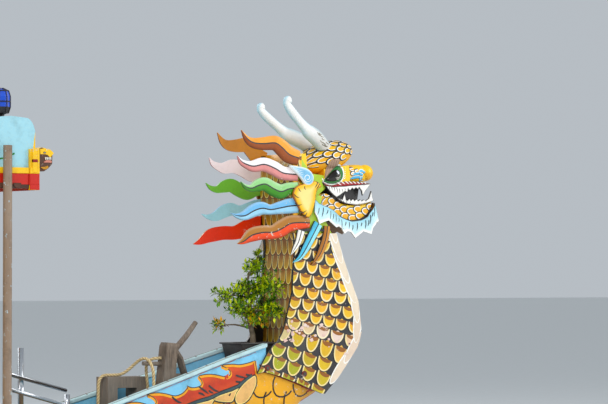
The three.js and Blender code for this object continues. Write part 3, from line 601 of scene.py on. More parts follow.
def metal(name, colour, rough, stain=None, amount=0.0, scale=6.0, metallic=1.0):
    """Metal with brushed streaks, and rust or tarnish where a stain is given."""
    f = Finish(name, rough, metallic)
    streaks = f.noise(40, 4, (1, 1, 12), 0.6)
    base = f.mix(f.ramp(streaks, 0.3, 0.7, 0.0, 0.25), colour, tuple(c * 0.72 for c in colour))
    rough_now = f.ramp(streaks, 0.3, 0.75, rough - 0.05, rough + 0.12)
    height = streaks
    if stain:
        patches = f.ramp(f.noise(scale, 9, None, 0.7), 0.62 - 0.25 * amount, 0.68 - 0.2 * amount)
        spots = f.noise(60, 5)
        base = f.mix(patches, base, f.mix(spots, stain, tuple(c * 0.45 for c in stain)))
        rough_now = f.maths("MAXIMUM", rough_now, f.maths("MULTIPLY", patches, 0.85))
        height = f.maths("ADD", f.maths("MULTIPLY", patches, 1.5), f.maths("MULTIPLY", spots, patches))
    return f.finish(base, rough_now, f.bump(height, 0.0008, 0.5))


# Surfaces of the frame to build on

def surface(node, outward):
    """Gives place(u, v, h) on the outside of a frame node."""
    return surface_of(*mesh_of(node), outward)


def surface_of(points, faces, outward):
    """Gives place(u, v, h): the outer surface of a mesh at u, v, seen along an axis, and h above it."""
    tree = BVHTree.FromPolygons([Vector(p) for p in points], faces)
    outward = Vector(outward)
    across, up = [k for k in range(3) if not outward[k]]

    def place(u, v, h=0.0):
        start = outward * 20
        start[across], start[up] = u, v
        spot = tree.ray_cast(start, -outward)[0] or tree.find_nearest(start - outward * 19.5)[0]
        spot = Vector(spot)
        spot[across], spot[up] = u, v
        return tuple(spot + outward * h)

    return place


# Scales

def shield(width, height, bend, step):
    """A scale's outline drawn in by a step, as across and up from its tip: a round end, straight sides."""
    half = width / 2 - step
    sides = (height, (height + bend) / 2)
    left = [(-half, e) for e in sides]
    low = [(-half * c, step + (bend - step) * (1 - s)) for c, s in half_turn(12)]
    return left + low + [(half, e) for e in reversed(sides)]


class Scales:
    """Rows of overlapping scales, each proud at its tip and sunk at its root."""

    def __init__(self, shape, place, low, high, limits=None, ink=0.008, rim=0.012):
        self.shape, self.place, self.limits = shape, place, limits
        self.low, self.high, self.ink, self.rim = low, high, ink, rim

    def add(self, tip, width, height, lean, fill, fill_up=None, rim=CREAM, shade=None, lift=0.0, bend=None):
        fill_up = fill if fill_up is None else fill_up
        bend = bend or 0.87 * height
        cos, sin = math.cos(lean), math.sin(lean)

        def turned(s, e):
            return tip[0] + s * cos - e * sin, tip[1] + s * sin + e * cos

        def spot(s, e, extra):
            u, v = turned(s, e)
            if self.limits:
                u, v = held(self.limits, u, v)
            rise = self.high - (self.high - self.low) * min(1, max(0, e / height))
            return self.place(u, v, rise + extra + lift)

        if self.limits:
            seen = [p for p in shield(width, height, bend, 0) if inside(self.limits, *turned(*p))]
            if len(seen) < 3:
                return
        shape = self.shape
        sunk = -self.high * 0.6
        rims = [(0, sunk), (0, 0), (self.ink, 0.0002), (self.ink, 0.0002),
                (self.ink + self.rim * 0.5, 0.0006), (self.ink + self.rim, 0.0003)]
        if self.high < 0:  # below the board's face the whole rim keeps one height
            rims = [(step, sunk) for step, _ in rims]
        rings = [shape.ring([spot(s, e, extra) for s, e in shield(width, height, bend, step)])
                 for step, extra in rims]
        for k in range(1, len(rings)):
            shape.bridge(rings[k - 1], rings[k], INK if k < 3 else rim)
        body = shield(width, height, bend, self.ink + self.rim)
        tone = lambda e: blend(fill, fill_up, min(1, e / height * 1.4))
        edge = shape.ring([spot(s, e, 0.0003) for s, e in body])
        shape.bridge(rings[-1], edge, rim)
        middle = [(s * 0.55, bend + (e - bend) * 0.6) for s, e in body]
        inner = shape.ring([spot(s, e, 0.0007) for s, e in middle])
        shape.bridge(edge, inner, [tone(e) for _, e in body], [tone(e) for _, e in middle])
        shape.fan(inner, spot(0, bend * 1.3, 0.0008), [tone(e) for _, e in middle], tone(bend * 1.3))
        if shade:
            self.shadow(spot, width, height, shade)

    def shadow(self, spot, width, height, shade):
        """The brown crescent at a scale's root."""
        reach = width * 0.38
        lower = [(-reach * c, height * (1 - 0.27 * s)) for c, s in half_turn(8)]
        upper = [(-reach * c, height * 1.01) for c, _ in half_turn(8)]
        shape = self.shape
        rings = [shape.ring([spot(s, e, extra) for s, e in line])
                 for line, extra in ((lower, 0), (lower, 0.0011), (upper, 0.0011), (upper, 0))]
        for a, b in zip(rings, rings[1:]):
            shape.bridge(a, b, shade, closed=False)


# The neck

NECK_GROUND = 0.2362
# Rows of the neck's scales: height of the tips at x 5.27, first tip's x, pitch, slope, lean in degrees
NECK_ROWS = [
    (2.275, 4.994, 0.129, -0.22, 5), (2.170, 5.059, 0.129, -0.22, 5), (2.065, 4.994, 0.129, -0.22, 6),
    (1.960, 5.059, 0.129, -0.22, 7), (1.851, 4.984, 0.133, -0.16, 8), (1.750, 5.053, 0.141, -0.13, 8),
    (1.643, 4.869, 0.138, -0.16, 10), (1.545, 4.960, 0.131, -0.20, 12), (1.438, 4.848, 0.147, -0.26, 14),
    (1.290, 4.743, 0.142, -0.34, 18), (1.170, 4.665, 0.157, -0.27, 22), (1.041, 4.679, 0.149, -0.31, 24),
    (0.925, 4.610, 0.152, -0.31, 26),
]
LOST_PAINT = rgb("ecd9cf")
BELLY_LOBE = 0.085
BOLTS = ((4.742, 1.205), (5.117, 1.150))


def worn_band(x, height):
    """The height of a band that falls towards the front."""
    return height - 0.30 * max(0, x - 5.2)


def wear(x, z):
    """How much paint is gone, along the worn band and at the lower front edge."""
    band = 1 - abs(z - worn_band(x, 1.51)) / 0.10
    edge = 1 - math.hypot(x - 5.55, z - 1.22) / 0.27
    return min(1, max(0, 1.25 * max(band, edge) * random.uniform(0.35, 1.0)))


def flakes(shape, side):
    """Ragged spots of bare primer along the worn band, and two bolts with red washers."""
    place = on_side(side, NECK_GROUND)
    for _ in range(34):
        x = random.uniform(4.90, 5.60)
        z = worn_band(x, 1.50) + random.uniform(-0.09, 0.09)
        r = random.uniform(0.008, 0.024)
        spot = [(x + r * random.uniform(0.5, 1.3) * c, z + r * random.uniform(0.4, 0.9) * s)
                for c, s in circle(0, 0, 1, 9)]
        tone = blend(LOST_PAINT, rgb("d9a9a0"), random.random() * 0.7)
        shape.slab(spot, place, 0.0, 0.0062, tone)
    for x, z in BOLTS:
        for r, high, tone in ((0.026, 0.0066, rgb("6e2017")), (0.014, 0.0125, rgb("3c3a38"))):
            shape.slab(circle(x, z, r, 14), place, 0.0, high, tone, None, 0.002)


def neck_tone(x, z):
    """Golden at the front and the top, olive and brown towards the rear and the foot."""
    share = min(1, max(0, (5.2 - x) * 1.9 + (1.72 - z) * 0.9 + random.uniform(-0.2, 0.2)))
    return blend(blend(GOLD, OCHRE, random.random()), OLIVE, share)


def edge_at(line, z):
    """The x of an edge, listed as x, z points, at a height."""
    for (x0, z0), (x1, z1) in zip(line, line[1:]):
        if min(z0, z1) <= z <= max(z0, z1) and z0 != z1:
            return x0 + (x1 - x0) * (z - z0) / (z1 - z0)
    return min(line, key=lambda p: abs(p[1] - z))[0]


def neck_side(name, side):
    """One side board of the neck: scales, pale lobes along its front edge, and worn spots."""
    node = "neck_side_" + name
    board = flat_outline(node, side)[0]
    front = sorted((p for p in board if p[0] > 5.3), key=lambda p: p[1])
    shape = Shape()
    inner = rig.box(node)[1 if side < 0 else 0].y * side
    shape.slab(board, on_side(side, 0), inner, NECK_GROUND, INK)
    scales = Scales(shape, on_side(side, NECK_GROUND), 0.0003, 0.0028, board)
    heights = [row[0] for row in NECK_ROWS]
    for k in range(len(NECK_ROWS) - 1, -1, -1):
        z0, first, pitch, slope, lean = NECK_ROWS[k]
        gap = heights[k - 1] - z0 if k else heights[0] - heights[1]
        for j in range(7):
            x = first + j * pitch
            z = z0 + slope * (x - 5.27)
            if x > edge_at(front, z) - 0.03:
                break
            fill = blend(neck_tone(x, z), LOST_PAINT, wear(x + 0.01, z + 0.05))
            scales.add((x, z), pitch + 0.003, 0.98 * gap, math.radians(-lean), fill,
                       blend(fill, BROWN, 0.16), blend(CREAM, WHITE, random.uniform(0, 0.5)), BROWN,
                       0.00012 * (j % 2))
    lobes = Scales(shape, on_side(side, NECK_GROUND), 0.0024, 0.0030, board, 0.0, 0.013)
    for k in range(8):
        z = 1.06 + 0.168 * k
        x, ahead = edge_at(front, z), edge_at(front, min(z + 0.16, 2.32))
        lean = -math.atan2(ahead - x, 0.16)
        tone = blend(BELLY, rgb("d8bfae"), random.random() * 0.7)
        lobes.add((x - BELLY_LOBE * 0.42, z), BELLY_LOBE * 1.25, 0.30, lean, tone, None, WHITE, None,
                  0.0001 * (k % 2))
    flakes(shape, side)
    make(shape, node + "_scales", "scale_paint", replaces=[node])


def neck_boards():
    """The back board with narrow scales, and the cream belly board."""
    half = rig.box("neck_back")[1].y
    low, high, ground = 1.25, 2.322, -0.0045
    levels = [low + (high - low) * k / 24 for k in range(25)]
    limits = rectangle(0.002 - half, low, half - 0.002, high)
    for name, aft, slot, base in (("neck_back", True, "scale_paint", INK),
                                  ("neck_front", False, "belly_paint", BELLY)):
        shape = Shape()
        place = surface(name, (-1 if aft else 1, 0, 0))
        edges = [[(way * (half - 0.001), z) for z in levels] for way in (-1, 1)]
        shape.ribbon(*edges, place, base, -0.02, ground)
        scales = Scales(shape, place, ground + 0.0003, ground + 0.0034, limits, 0.006, 0.008)
        if aft:
            for k in range(9):
                for j in range(6):
                    y = -2.5 * 0.086 + 0.086 * j - 0.043 * (k % 2) + 0.02
                    back_scale(scales, y, 1.27 + 0.124 * k, j, (0.15, 0.6), 0.3)
        else:
            for k in range(10, -1, -1):
                tone = blend(BELLY, rgb("d3b9a4"), random.random() * 0.6)
                scales.add((0, 1.265 + 0.1 * k), 2 * half - 0.01, 0.17, 0, tone, BELLY, WHITE)
        make(shape, name + "_painted", slot, replaces=[name])


def back_scale(scales, y, z, column, browned, olive):
    """One of the long narrow scales on the rear of neck and head, its fill browned as painted shade."""
    # Painted shade: the fill is browned by a random share within the given range, as the rear faces lie in shade
    fill = blend(blend(GOLD, BROWN, random.uniform(*browned)), OLIVE, random.uniform(0, olive))
    scales.add((y, z), 0.088, 0.165, 0, fill, BROWN, CREAM, BROWN, 0.0001 * (column % 2), 0.060)


# Painted boards

def panel(shape, outline, place, low, high, tone, grid=0.01, ease=0.004, width=0.010, back=None):
    """A carved board with a rounded rim, painted by tone(u, v, distance to the rim)."""
    outline = [tuple(p[:2]) for p in outline]
    us, vs = [p[0] for p in outline], [p[1] for p in outline]
    spots = [(u, v, 0.0) for u, v in outline]
    for i in range(int((max(us) - min(us)) / grid) + 1):
        for j in range(int((max(vs) - min(vs)) / grid) + 1):
            u = min(us) + (i + 0.5 + 0.5 * (j % 2)) * grid
            v = min(vs) + (j + 0.5) * grid
            if inside(outline, u, v):
                gap = nearest(outline, u, v)[0]
                if gap > grid * 0.45:
                    spots.append((u, v, gap))
    for step in (width * 0.3, width):
        spots += [(u, v, step) for u, v in drawn_in(outline, step, step * 0.7)]
    count = len(outline)
    edges = [(k, (k + 1) % count) for k in range(count)]
    made = delaunay_2d_cdt([Vector(s[:2]) for s in spots], edges, [], 1, 1e-5)
    points, faces, sources = made[0], made[2], made[3]
    gaps = [max((spots[s][2] for s in source), default=0.0) if source else 0.0 for source in sources]
    depth = [high - ease * (1 - min(1, gap / width)) ** 2 for gap in gaps]
    front = shape.ring([place(p.x, p.y, h) for p, h in zip(points, depth)])
    paints = [tone(p.x, p.y, gap) for p, gap in zip(points, gaps)]
    for face in faces:
        shape.face([front[k] for k in face], [paints[k] for k in face])
    edge_paint = [tone(u, v, 0.0) for u, v in outline]
    upper = shape.ring([place(u, v, high - ease) for u, v in outline])
    lower = shape.ring([place(u, v, low) for u, v in outline])
    shape.bridge(lower, upper, edge_paint, edge_paint)
    rear = back or edge_paint[0]
    for triangle in tessellate_polygon([[Vector((u, v, 0)) for u, v in outline]]):
        shape.face([lower[k] for k in triangle], rear)


def steps(distance, *bands):
    """A paint in bands: pairs of a distance and the paint up to it, the last one beyond."""
    for limit, paint in bands:
        if distance <= limit:
            return paint
    return bands[-1][1]


def tapered(count, width, start=0.35, end=0.15):
    """Brush widths along a stroke: swelling from its start, thinning to its end."""
    return [width * (start + (1 - start) * math.sin(math.pi * min(1, k / count + 0.12)) ** 0.6
                     if k < count * 0.6 else max(end, 1 - (k / count - 0.6) * 2.1)) for k in range(count + 1)]


def brush(shape, points, place, width, paint, high, low=-0.001, fine=4, ends=(0.35, 0.15)):
    """A smooth brush stroke through a few points."""
    line = curve(points, fine)
    shape.stroke(line, place, tapered(len(line) - 1, width, *ends), paint, low, high)


# The head

HEAD_SIDE = 0.235
FACE_SIDE = 0.150
MANE_INNER = 0.2353
MANE_OUTER = 0.2590
EAR_INNER = 0.2596
EAR_OUTER = 0.2852

# Mane strands from the tip to the root: x, z, half width; then outer upper, outer lower and inner paint
MANES = {
    "yellow": ([
        (4.475, 3.169, 0.002), (4.531, 3.098, 0.026), (4.600, 3.066, 0.043), (4.700, 3.063, 0.054),
        (4.811, 3.070, 0.062), (4.882, 3.031, 0.070), (4.952, 2.978, 0.072), (5.050, 2.950, 0.062),
    ], rgb("f59c14"), rgb("93450f"), rgb("c07a1c")),
    "pink": ([
        (4.437, 2.957, 0.002), (4.475, 2.908, 0.022), (4.540, 2.882, 0.034), (4.600, 2.874, 0.048),
        (4.700, 2.890, 0.058), (4.800, 2.862, 0.060), (4.880, 2.825, 0.058), (4.950, 2.816, 0.056),
        (5.040, 2.812, 0.054),
    ], rgb("f6eef0"), rgb("e09a98"), rgb("efdfe0")),
    "green": ([
        (4.469, 2.745, 0.002), (4.515, 2.705, 0.018), (4.575, 2.692, 0.030), (4.640, 2.715, 0.050),
        (4.712, 2.727, 0.057), (4.790, 2.692, 0.060), (4.870, 2.668, 0.060), (4.950, 2.692, 0.052),
        (5.040, 2.700, 0.050),
    ], rgb("97cf8c"), rgb("3d8a22"), rgb("79b455")),
    "blue": ([
        (4.371, 2.484, 0.002), (4.430, 2.463, 0.018), (4.510, 2.465, 0.040), (4.600, 2.507, 0.054),
        (4.680, 2.527, 0.054), (4.765, 2.517, 0.042), (4.860, 2.532, 0.052), (4.950, 2.548, 0.062),
        (5.040, 2.556, 0.064),
    ], rgb("7fb9e2"), rgb("a5d4ee"), rgb("a8d6e0")),
    "red": ([
        (4.437, 2.232, 0.002), (4.494, 2.253, 0.026), (4.580, 2.304, 0.056), (4.690, 2.327, 0.058),
        (4.790, 2.330, 0.058), (4.875, 2.360, 0.070), (4.960, 2.402, 0.066), (5.060, 2.412, 0.060),
        (5.160, 2.410, 0.042),
    ], rgb("a8702c"), rgb("ee4a18"), rgb("e83418")),
}
MANE_ROOTS = {"upper": (("yellow", "pink", "green"), 2.670, 2.980), "lower": (("blue", "red"), 2.360, 2.600)}


def strand(shape, place, line, upper, lower, inner, inside_at, outside_at, ink=0.0075, rimmed=False):
    """A flame-shaped strand: two tones outside with a dark line between them, plain inside."""
    depth = outside_at - inside_at
    # Painted highlight and painted shade: the upper edge is lightened towards white, the lower edge darkened towards
    # ink
    dark, pale = blend(lower, INK, 0.35), blend(upper, WHITE, 0.18)
    section = [  # share of the half width, share of the depth, paint
        (1.0, 0.0, inner), (1.0, 0.0, pale), (1.0, 0.62, pale), (0.93, 0.84, pale), (0.6, 0.94, upper),
        ("ink", 1.0, upper), ("ink", 1.0, INK), ("-ink", 1.0, INK), ("-ink", 1.0, lower),
        (-0.55, 0.93, lower), (-0.93, 0.78, dark), (-1.0, 0.55, dark), (-1.0, 0.0, dark), (-1.0, 0.0, inner),
    ]
    if rimmed:
        section = [(s, d, INK if k in (1, 2, 3, 11, 12) else p) for k, (s, d, p) in enumerate(section)]
        section[4:4] = [(0.86, 0.90, INK), (0.86, 0.90, upper)]
        section[13:13] = [(-0.86, 0.86, lower), (-0.86, 0.86, INK)]
    points = curve(line, 5)
    rings, paints = [], []
    for k, (x, z, half) in enumerate(points):
        (x0, z0, _), (x1, z1, _) = beside(points, k)
        length = math.hypot(x1 - x0, z1 - z0)
        across = (-(z1 - z0) / length, (x1 - x0) / length)
        half = max(half, 0.0015)
        thin = min(1.0, 0.35 + half / 0.04)
        ring = []
        for share, level, _ in section:
            if isinstance(share, str):
                share = min(0.5, ink / 2 / half * min(1, half / 0.03)) * (-1 if share[0] == "-" else 1)
            s = share * half
            h = inside_at + depth * ((1 - thin) / 2 + level * thin)
            ring.append(place(x + across[0] * s, z + across[1] * s, h))
        rings.append(ring)
        paints.append([paint for _, _, paint in section])
    made = [shape.ring(r) for r in rings]
    for k in range(len(made) - 1):
        shape.bridge(made[k], made[k + 1], paints[k], paints[k + 1])
    for ring in (made[0], made[-1]):
        shape.cap(ring, upper)


# How much further forward a port strand's tip lies than the starboard one's
PORT_TIPS = {"yellow": 0.088, "pink": 0.046, "green": -0.022, "blue": 0.037, "red": -0.113}


def drawn_out(line, shift):
    """A strand's stations with the tip moved along x by a shift that fades towards the root."""
    tip, root = line[0][0], line[-1][0]
    return [(x + shift * (root - x) / (root - tip), z, half) for x, z, half in line]


def manes():
    """The mane's strands on each side, and the boards they grow from."""
    for part, (names, low, high) in MANE_ROOTS.items():
        for name, side in SIDES.items():
            shape = Shape()
            place = on_side(side, 0)
            for strand_name in names:
                line, upper, lower, inner = MANES[strand_name]
                line = drawn_out(line, PORT_TIPS[strand_name] if side > 0 else 0)
                strand(shape, place, line, upper, lower, inner, MANE_INNER, MANE_OUTER, 0.011)
            shape.slab(rectangle(5.0, low, 5.046, high), place, MANE_INNER, MANE_INNER + 0.011, OCHRE,
                       chamfer=0.002)
            slot = f"mane_{part}_paint"
            make(shape, f"mane_{part}_{name}_carved", slot, replaces=[f"mane_{part}_{name}"], crease=50)


# The shell ear: its rim from the rear tip round the top to the foot, x and z
EAR_RIM = [
    (4.979, 2.633), (4.990, 2.685), (5.022, 2.717), (5.076, 2.735), (5.128, 2.738), (5.188, 2.760),
    (5.236, 2.748), (5.264, 2.716), (5.232, 2.697), (5.211, 2.661), (5.203, 2.600), (5.181, 2.525),
    (5.160, 2.478), (5.128, 2.453), (5.090, 2.472), (5.046, 2.517), (5.014, 2.572),
]
EAR_FOLDS = [
    [(5.026, 2.700), (5.034, 2.683), (5.052, 2.668)], [(5.090, 2.716), (5.088, 2.700), (5.100, 2.684)],
    [(4.985, 2.645), (5.005, 2.626), (5.034, 2.618)], [(4.992, 2.574), (5.022, 2.556), (5.060, 2.563)],
    [(5.043, 2.502), (5.072, 2.496), (5.106, 2.513)], [(5.080, 2.464), (5.098, 2.474), (5.113, 2.496)],
    [(5.222, 2.752), (5.212, 2.728), (5.192, 2.704)], [(5.240, 2.735), (5.228, 2.716), (5.206, 2.690)],
]
CURL_RIM = [
    (4.940, 2.885), (4.985, 2.842), (5.030, 2.806), (5.070, 2.766), (5.100, 2.730), (5.140, 2.721),
    (5.174, 2.744), (5.185, 2.793), (5.158, 2.838), (5.100, 2.868), (5.020, 2.880),
]


def ears():
    """The shell ear and the curl on each temple."""
    ear_rim, curl_rim = curve(EAR_RIM, 3, True), curve(CURL_RIM, 3, True)

    def shell(u, v, gap):
        glow = min(1, gap / 0.055)
        return steps(gap, (0.0055, rgb("a85f1d")), (9, blend(rgb("f7b818"), rgb("f9e39c"), glow ** 1.3)))

    def wave(u, v, gap):
        deep = blend(rgb("dff0f5"), rgb("88c0e2"), min(1, gap / 0.022))
        return steps(gap, (0.0045, rgb("eef4f4")), (9, deep))

    for name, side in SIDES.items():
        shape, place = Shape(), on_side(side, 0)
        panel(shape, ear_rim, place, EAR_INNER, EAR_OUTER - 0.0012, shell, 0.008, 0.008, 0.016)
        for line in EAR_FOLDS:
            brush(shape, line, place, 0.0075, INK, EAR_OUTER - 0.0002, EAR_OUTER - 0.007)
        panel(shape, curl_rim, place, EAR_INNER, EAR_OUTER - 0.0010, wave, 0.007, 0.007, 0.014)
        centre, turns = (5.118, 2.786), 1.45
        spiral = [(centre[0] + (0.012 + 0.030 * t) * math.cos(-2.2 + 2 * math.pi * turns * t),
                   centre[1] + (0.012 + 0.026 * t) * math.sin(-2.2 + 2 * math.pi * turns * t))
                  for t in (k / 12 for k in range(13))]
        brush(shape, spiral, place, 0.006, rgb("f2f7f7"), EAR_OUTER, EAR_OUTER - 0.004)
        for shift in (0.0, 0.014, 0.028):
            feather = [(4.955 + shift, 2.876 - shift * 0.9), (5.02 + shift * 0.6, 2.852 - shift * 1.1),
                       (5.08, 2.842 - shift * 1.2)]
            brush(shape, feather, place, 0.0045, rgb("e9f4f6"), EAR_OUTER, EAR_OUTER - 0.005)
        make(shape, f"ear_{name}_carved", "ear_paint", replaces=[f"ear_{name}"])


# Tufts over the neck: x, z and half width of each lock from its root down, and its paint
TUFTS = [
    ([(5.075, 2.345, 0.038), (5.048, 2.260, 0.030), (5.008, 2.195, 0.020), (4.971, 2.143, 0.002)],
     rgb("fbfaf4"), rgb("f1eee6")),
    ([(5.250, 2.405, 0.046), (5.185, 2.300, 0.042), (5.115, 2.190, 0.036), (5.055, 2.115, 0.020),
      (4.990, 2.081, 0.002)], rgb("9ee0ee"), rgb("6cc4e2")),
    ([(5.340, 2.385, 0.032), (5.325, 2.290, 0.032), (5.270, 2.160, 0.030), (5.183, 2.059, 0.002)],
     rgb("c48a52"), rgb("aa7038")),
]


def tufts():
    """Three locks over the neck on each side, and a dark band across their roots."""
    for name, side in SIDES.items():
        shape, place = Shape(), on_side(side, 0)
        for k, (line, upper, lower) in enumerate(TUFTS):
            strand(shape, place, line, upper, lower, lower, 0.2403 + 0.0004 * k, 0.2592, 0.0095, True)
        band = [(5.03, 2.330), (5.20, 2.345), (5.34, 2.338), (5.34, 2.358), (5.20, 2.368), (5.04, 2.352)]
        shape.slab(band, place, 0.2405, 0.2560, INK)
        make(shape, f"tuft_{name}_carved", "tuft_paint", replaces=[f"tuft_{name}"], crease=50)


# Skull: a domed block under scales whose free ends look aft
SKULL = {"x": 5.490, "z": 2.972, "a": 0.2695, "b": 0.2045, "c": 0.1275, "tilt": -0.32}
SKULL_ROUND = 0.172  # the radius that turns a width over the skull into an angle


def on_skull(u, v, h=0.0):
    """Length along the skull from its middle, and arc over it from its crest: positive to port."""
    t = max(-0.999, min(0.999, u / SKULL["a"]))
    ring, turn = math.sqrt(1 - t * t), v / SKULL_ROUND
    p = Vector((SKULL["a"] * t, SKULL["b"] * ring * math.sin(turn), SKULL["c"] * ring * math.cos(turn)))
    out = Vector((p.x / SKULL["a"] ** 2, p.y / SKULL["b"] ** 2, p.z / SKULL["c"] ** 2)).normalized()
    p += out * (h - 0.0035)
    cos, sin = math.cos(SKULL["tilt"]), math.sin(SKULL["tilt"])
    return (SKULL["x"] + p.x * cos + p.z * sin, p.y, SKULL["z"] - p.x * sin + p.z * cos)


def skull():
    """The domed skull under rows of scales."""
    shape = Shape()
    columns, turns = 40, 48
    rows = []
    for i in range(columns + 1):
        u = -SKULL["a"] * math.cos(math.pi * (0.01 + 0.98 * i / columns))
        rows.append(shape.ring([on_skull(u, SKULL_ROUND * 2 * math.pi * (j / turns - 0.5))
                                for j in range(turns)]))
    # Painted shade: gold over the crest, ochre on the lower sides and underneath
    tone = [OCHRE if 0.29 * turns > j or j > 0.71 * turns else GOLD for j in range(turns)]
    for a, b in zip(rows, rows[1:]):
        shape.bridge(a, b, tone, tone)
    for ring in (rows[0], rows[-1]):
        shape.cap(ring, GOLD)
    scales = Scales(shape, on_skull, 0.0006, 0.0045, None, 0.0130, 0.0095)
    pitch = 0.068
    for i in range(6, -1, -1):
        u = -0.262 + pitch * i
        for j in range(-4, 5):
            v = 0.098 * (j + 0.5 * (i % 2))
            if abs(v) > SKULL_ROUND * 1.95:
                continue
            fill = blend(GOLD, OCHRE, random.uniform(0, 0.7))
            scales.add((u, v), 0.094, 0.084, math.radians(-90), fill, blend(fill, OCHRE, 0.5), WHITE, None,
                       0.0001 * (j % 2), 0.050)
    make(shape, "skull_scales", "head_paint", replaces=["skull"])


# Snout: x, top z, bottom z and half width of its sections
SNOUT = [
    (5.645, 2.880, 2.740, 0.126), (5.700, 2.908, 2.741, 0.130), (5.760, 2.917, 2.742, 0.131),
    (5.815, 2.919, 2.746, 0.129), (5.845, 2.912, 2.756, 0.122), (5.860, 2.900, 2.775, 0.110),
]
NOSE = {"x": 5.866, "y": 0.068, "z": 2.846, "radius": 0.0710}


def superellipse(half_width, half_height, count, power=0.72):
    """Points y, z round a boxy oval."""
    turn = [2 * math.pi * k / count for k in range(count)]
    bent = lambda value: math.copysign(abs(value) ** power, value)
    return [(half_width * bent(math.cos(a)), half_height * bent(math.sin(a))) for a in turn]


SNOUT_SCALES = (
    (5.742, 2.858), (5.702, 2.836), (5.700, 2.872), (5.662, 2.825), (5.655, 2.856), (5.650, 2.790),
)
SWIRL = [
    [(5.822, 2.845), (5.800, 2.864), (5.766, 2.852), (5.778, 2.836)],
    [(5.806, 2.828), (5.764, 2.838), (5.724, 2.834), (5.690, 2.824)],
    [(5.800, 2.800), (5.756, 2.808), (5.710, 2.802), (5.668, 2.790)],
    [(5.815, 2.768), (5.785, 2.776), (5.786, 2.800), (5.806, 2.806)],
]


def snout():
    """The nose's boxy bridge with two nostril balls, scales and a painted swirl on each side; painted shade
    underneath.
    """
    shape = Shape()
    rings, paints = [], []
    for x, top, low, half in curve(SNOUT, 3):
        middle = (top + low) / 2
        oval = superellipse(max(0.004, half - 0.006), max(0.004, (top - low) / 2 - 0.002), 28)
        rings.append([(x, y, middle + z) for y, z in oval])
        # Painted shade: the bridge's lower part is half ochre
        paints.append([blend(GOLD, OCHRE, 0.5 if z < -0.03 else 0.0) for _, z in oval])
    shape.loft(rings, paints)
    # Painted shade: each nostril ball goes from gold on top to ochre underneath
    tones = [blend(GOLD, OCHRE, 0.5 - 0.5 * s) for _, s in circle(0, 0, 1, 24)]
    for side in SIDES.values():
        centre = Vector((NOSE["x"], side * NOSE["y"], NOSE["z"]))
        balls = [[centre + NOSE["radius"] * Vector((c * math.cos(a), math.sin(a), s * math.cos(a)))
                  for c, s in circle(0, 0, 1, 24)]
                 for a in (math.pi * (i / 14 - 0.5) * 0.97 for i in range(15))]
        shape.loft(balls, [tones] * 15)
    for side in SIDES.values():
        over = surface_of(shape.points, shape.faces, (0, side, 0))
        scales = Scales(shape, over, 0.0006, 0.0034, None, 0.0075, 0.009)
        for x, z in SNOUT_SCALES:
            scales.add((x - 0.03, z), 0.046, 0.046, math.radians(-90), GOLD, OCHRE, WHITE)
        for line in SWIRL:
            brush(shape, line, over, 0.022, rgb("6cbbe6"), 0.0022, -0.002, ends=(0.8, 0.25))
            brush(shape, [(x, z + 0.012) for x, z in line], over, 0.0050, rgb("f3f7f5"), 0.0027, -0.002)
            brush(shape, [(x, z - 0.0115) for x, z in line], over, 0.0035, INK, 0.0026, -0.002)
    make(shape, "snout_carved", "jaw_paint", replaces=["upper_jaw"])


# Eye, lip and teeth on the side of the face, x and z
EYE_CENTRE = (5.492, 2.816)
EYE_RIM = [(5.391, 2.776), (5.420, 2.812), (5.455, 2.846), (5.490, 2.866), (5.524, 2.862), (5.545, 2.832),
           (5.539, 2.796), (5.508, 2.772), (5.460, 2.764), (5.420, 2.766)]
GREEN_RIM = [(5.372, 2.762), (5.400, 2.800), (5.440, 2.845), (5.480, 2.882), (5.512, 2.899), (5.548, 2.888),
             (5.572, 2.850), (5.570, 2.804), (5.540, 2.766), (5.486, 2.746), (5.420, 2.746)]
WHITE_RIM = [(5.362, 2.752), (5.392, 2.796), (5.434, 2.852), (5.476, 2.894), (5.516, 2.913), (5.560, 2.900),
             (5.588, 2.852), (5.582, 2.796), (5.548, 2.754), (5.490, 2.733), (5.410, 2.735)]
BROW = [(5.387, 2.790), (5.391, 2.852), (5.418, 2.904), (5.458, 2.947), (5.538, 2.952), (5.522, 2.906),
        (5.482, 2.879), (5.426, 2.827)]
LIP = [(5.331, 2.795), (5.357, 2.768), (5.390, 2.745), (5.458, 2.731), (5.538, 2.754), (5.602, 2.766),
       (5.674, 2.764), (5.754, 2.760), (5.827, 2.755), (5.858, 2.752), (5.802, 2.745), (5.706, 2.737),
       (5.586, 2.726), (5.466, 2.719), (5.392, 2.728), (5.355, 2.752)]
LIP_TICKS = [
    ((5.340, 2.800), (5.368, 2.764)), ((5.505, 2.756), (5.552, 2.735)), ((5.548, 2.766), (5.590, 2.742)),
    ((5.590, 2.770), (5.630, 2.746)), ((5.632, 2.769), (5.668, 2.747)), ((5.674, 2.768), (5.704, 2.749)),
    ((5.716, 2.766), (5.742, 2.750)), ((5.756, 2.764), (5.776, 2.752)), ((5.794, 2.761), (5.810, 2.752)),
]
UPPER_TEETH = [
    (5.388, 2.728), (5.466, 2.718), (5.586, 2.725), (5.706, 2.736), (5.802, 2.744), (5.862, 2.750),
    (5.836, 2.724), (5.806, 2.692), (5.774, 2.650), (5.764, 2.690), (5.738, 2.719), (5.724, 2.704),
    (5.702, 2.717), (5.684, 2.699), (5.662, 2.712), (5.644, 2.690), (5.622, 2.702), (5.612, 2.676),
    (5.590, 2.684), (5.546, 2.656), (5.500, 2.632), (5.466, 2.652), (5.426, 2.686),
]
LOWER_TEETH = [
    (5.500, 2.630), (5.536, 2.620), (5.562, 2.612), (5.584, 2.662), (5.600, 2.608), (5.618, 2.606),
    (5.634, 2.624), (5.650, 2.604), (5.672, 2.621), (5.688, 2.603), (5.708, 2.619), (5.726, 2.602),
    (5.748, 2.617), (5.764, 2.602), (5.786, 2.616), (5.806, 2.604), (5.840, 2.626), (5.866, 2.690),
    (5.876, 2.634), (5.889, 2.607), (5.802, 2.584), (5.722, 2.572), (5.650, 2.574), (5.586, 2.584),
    (5.540, 2.602),
]
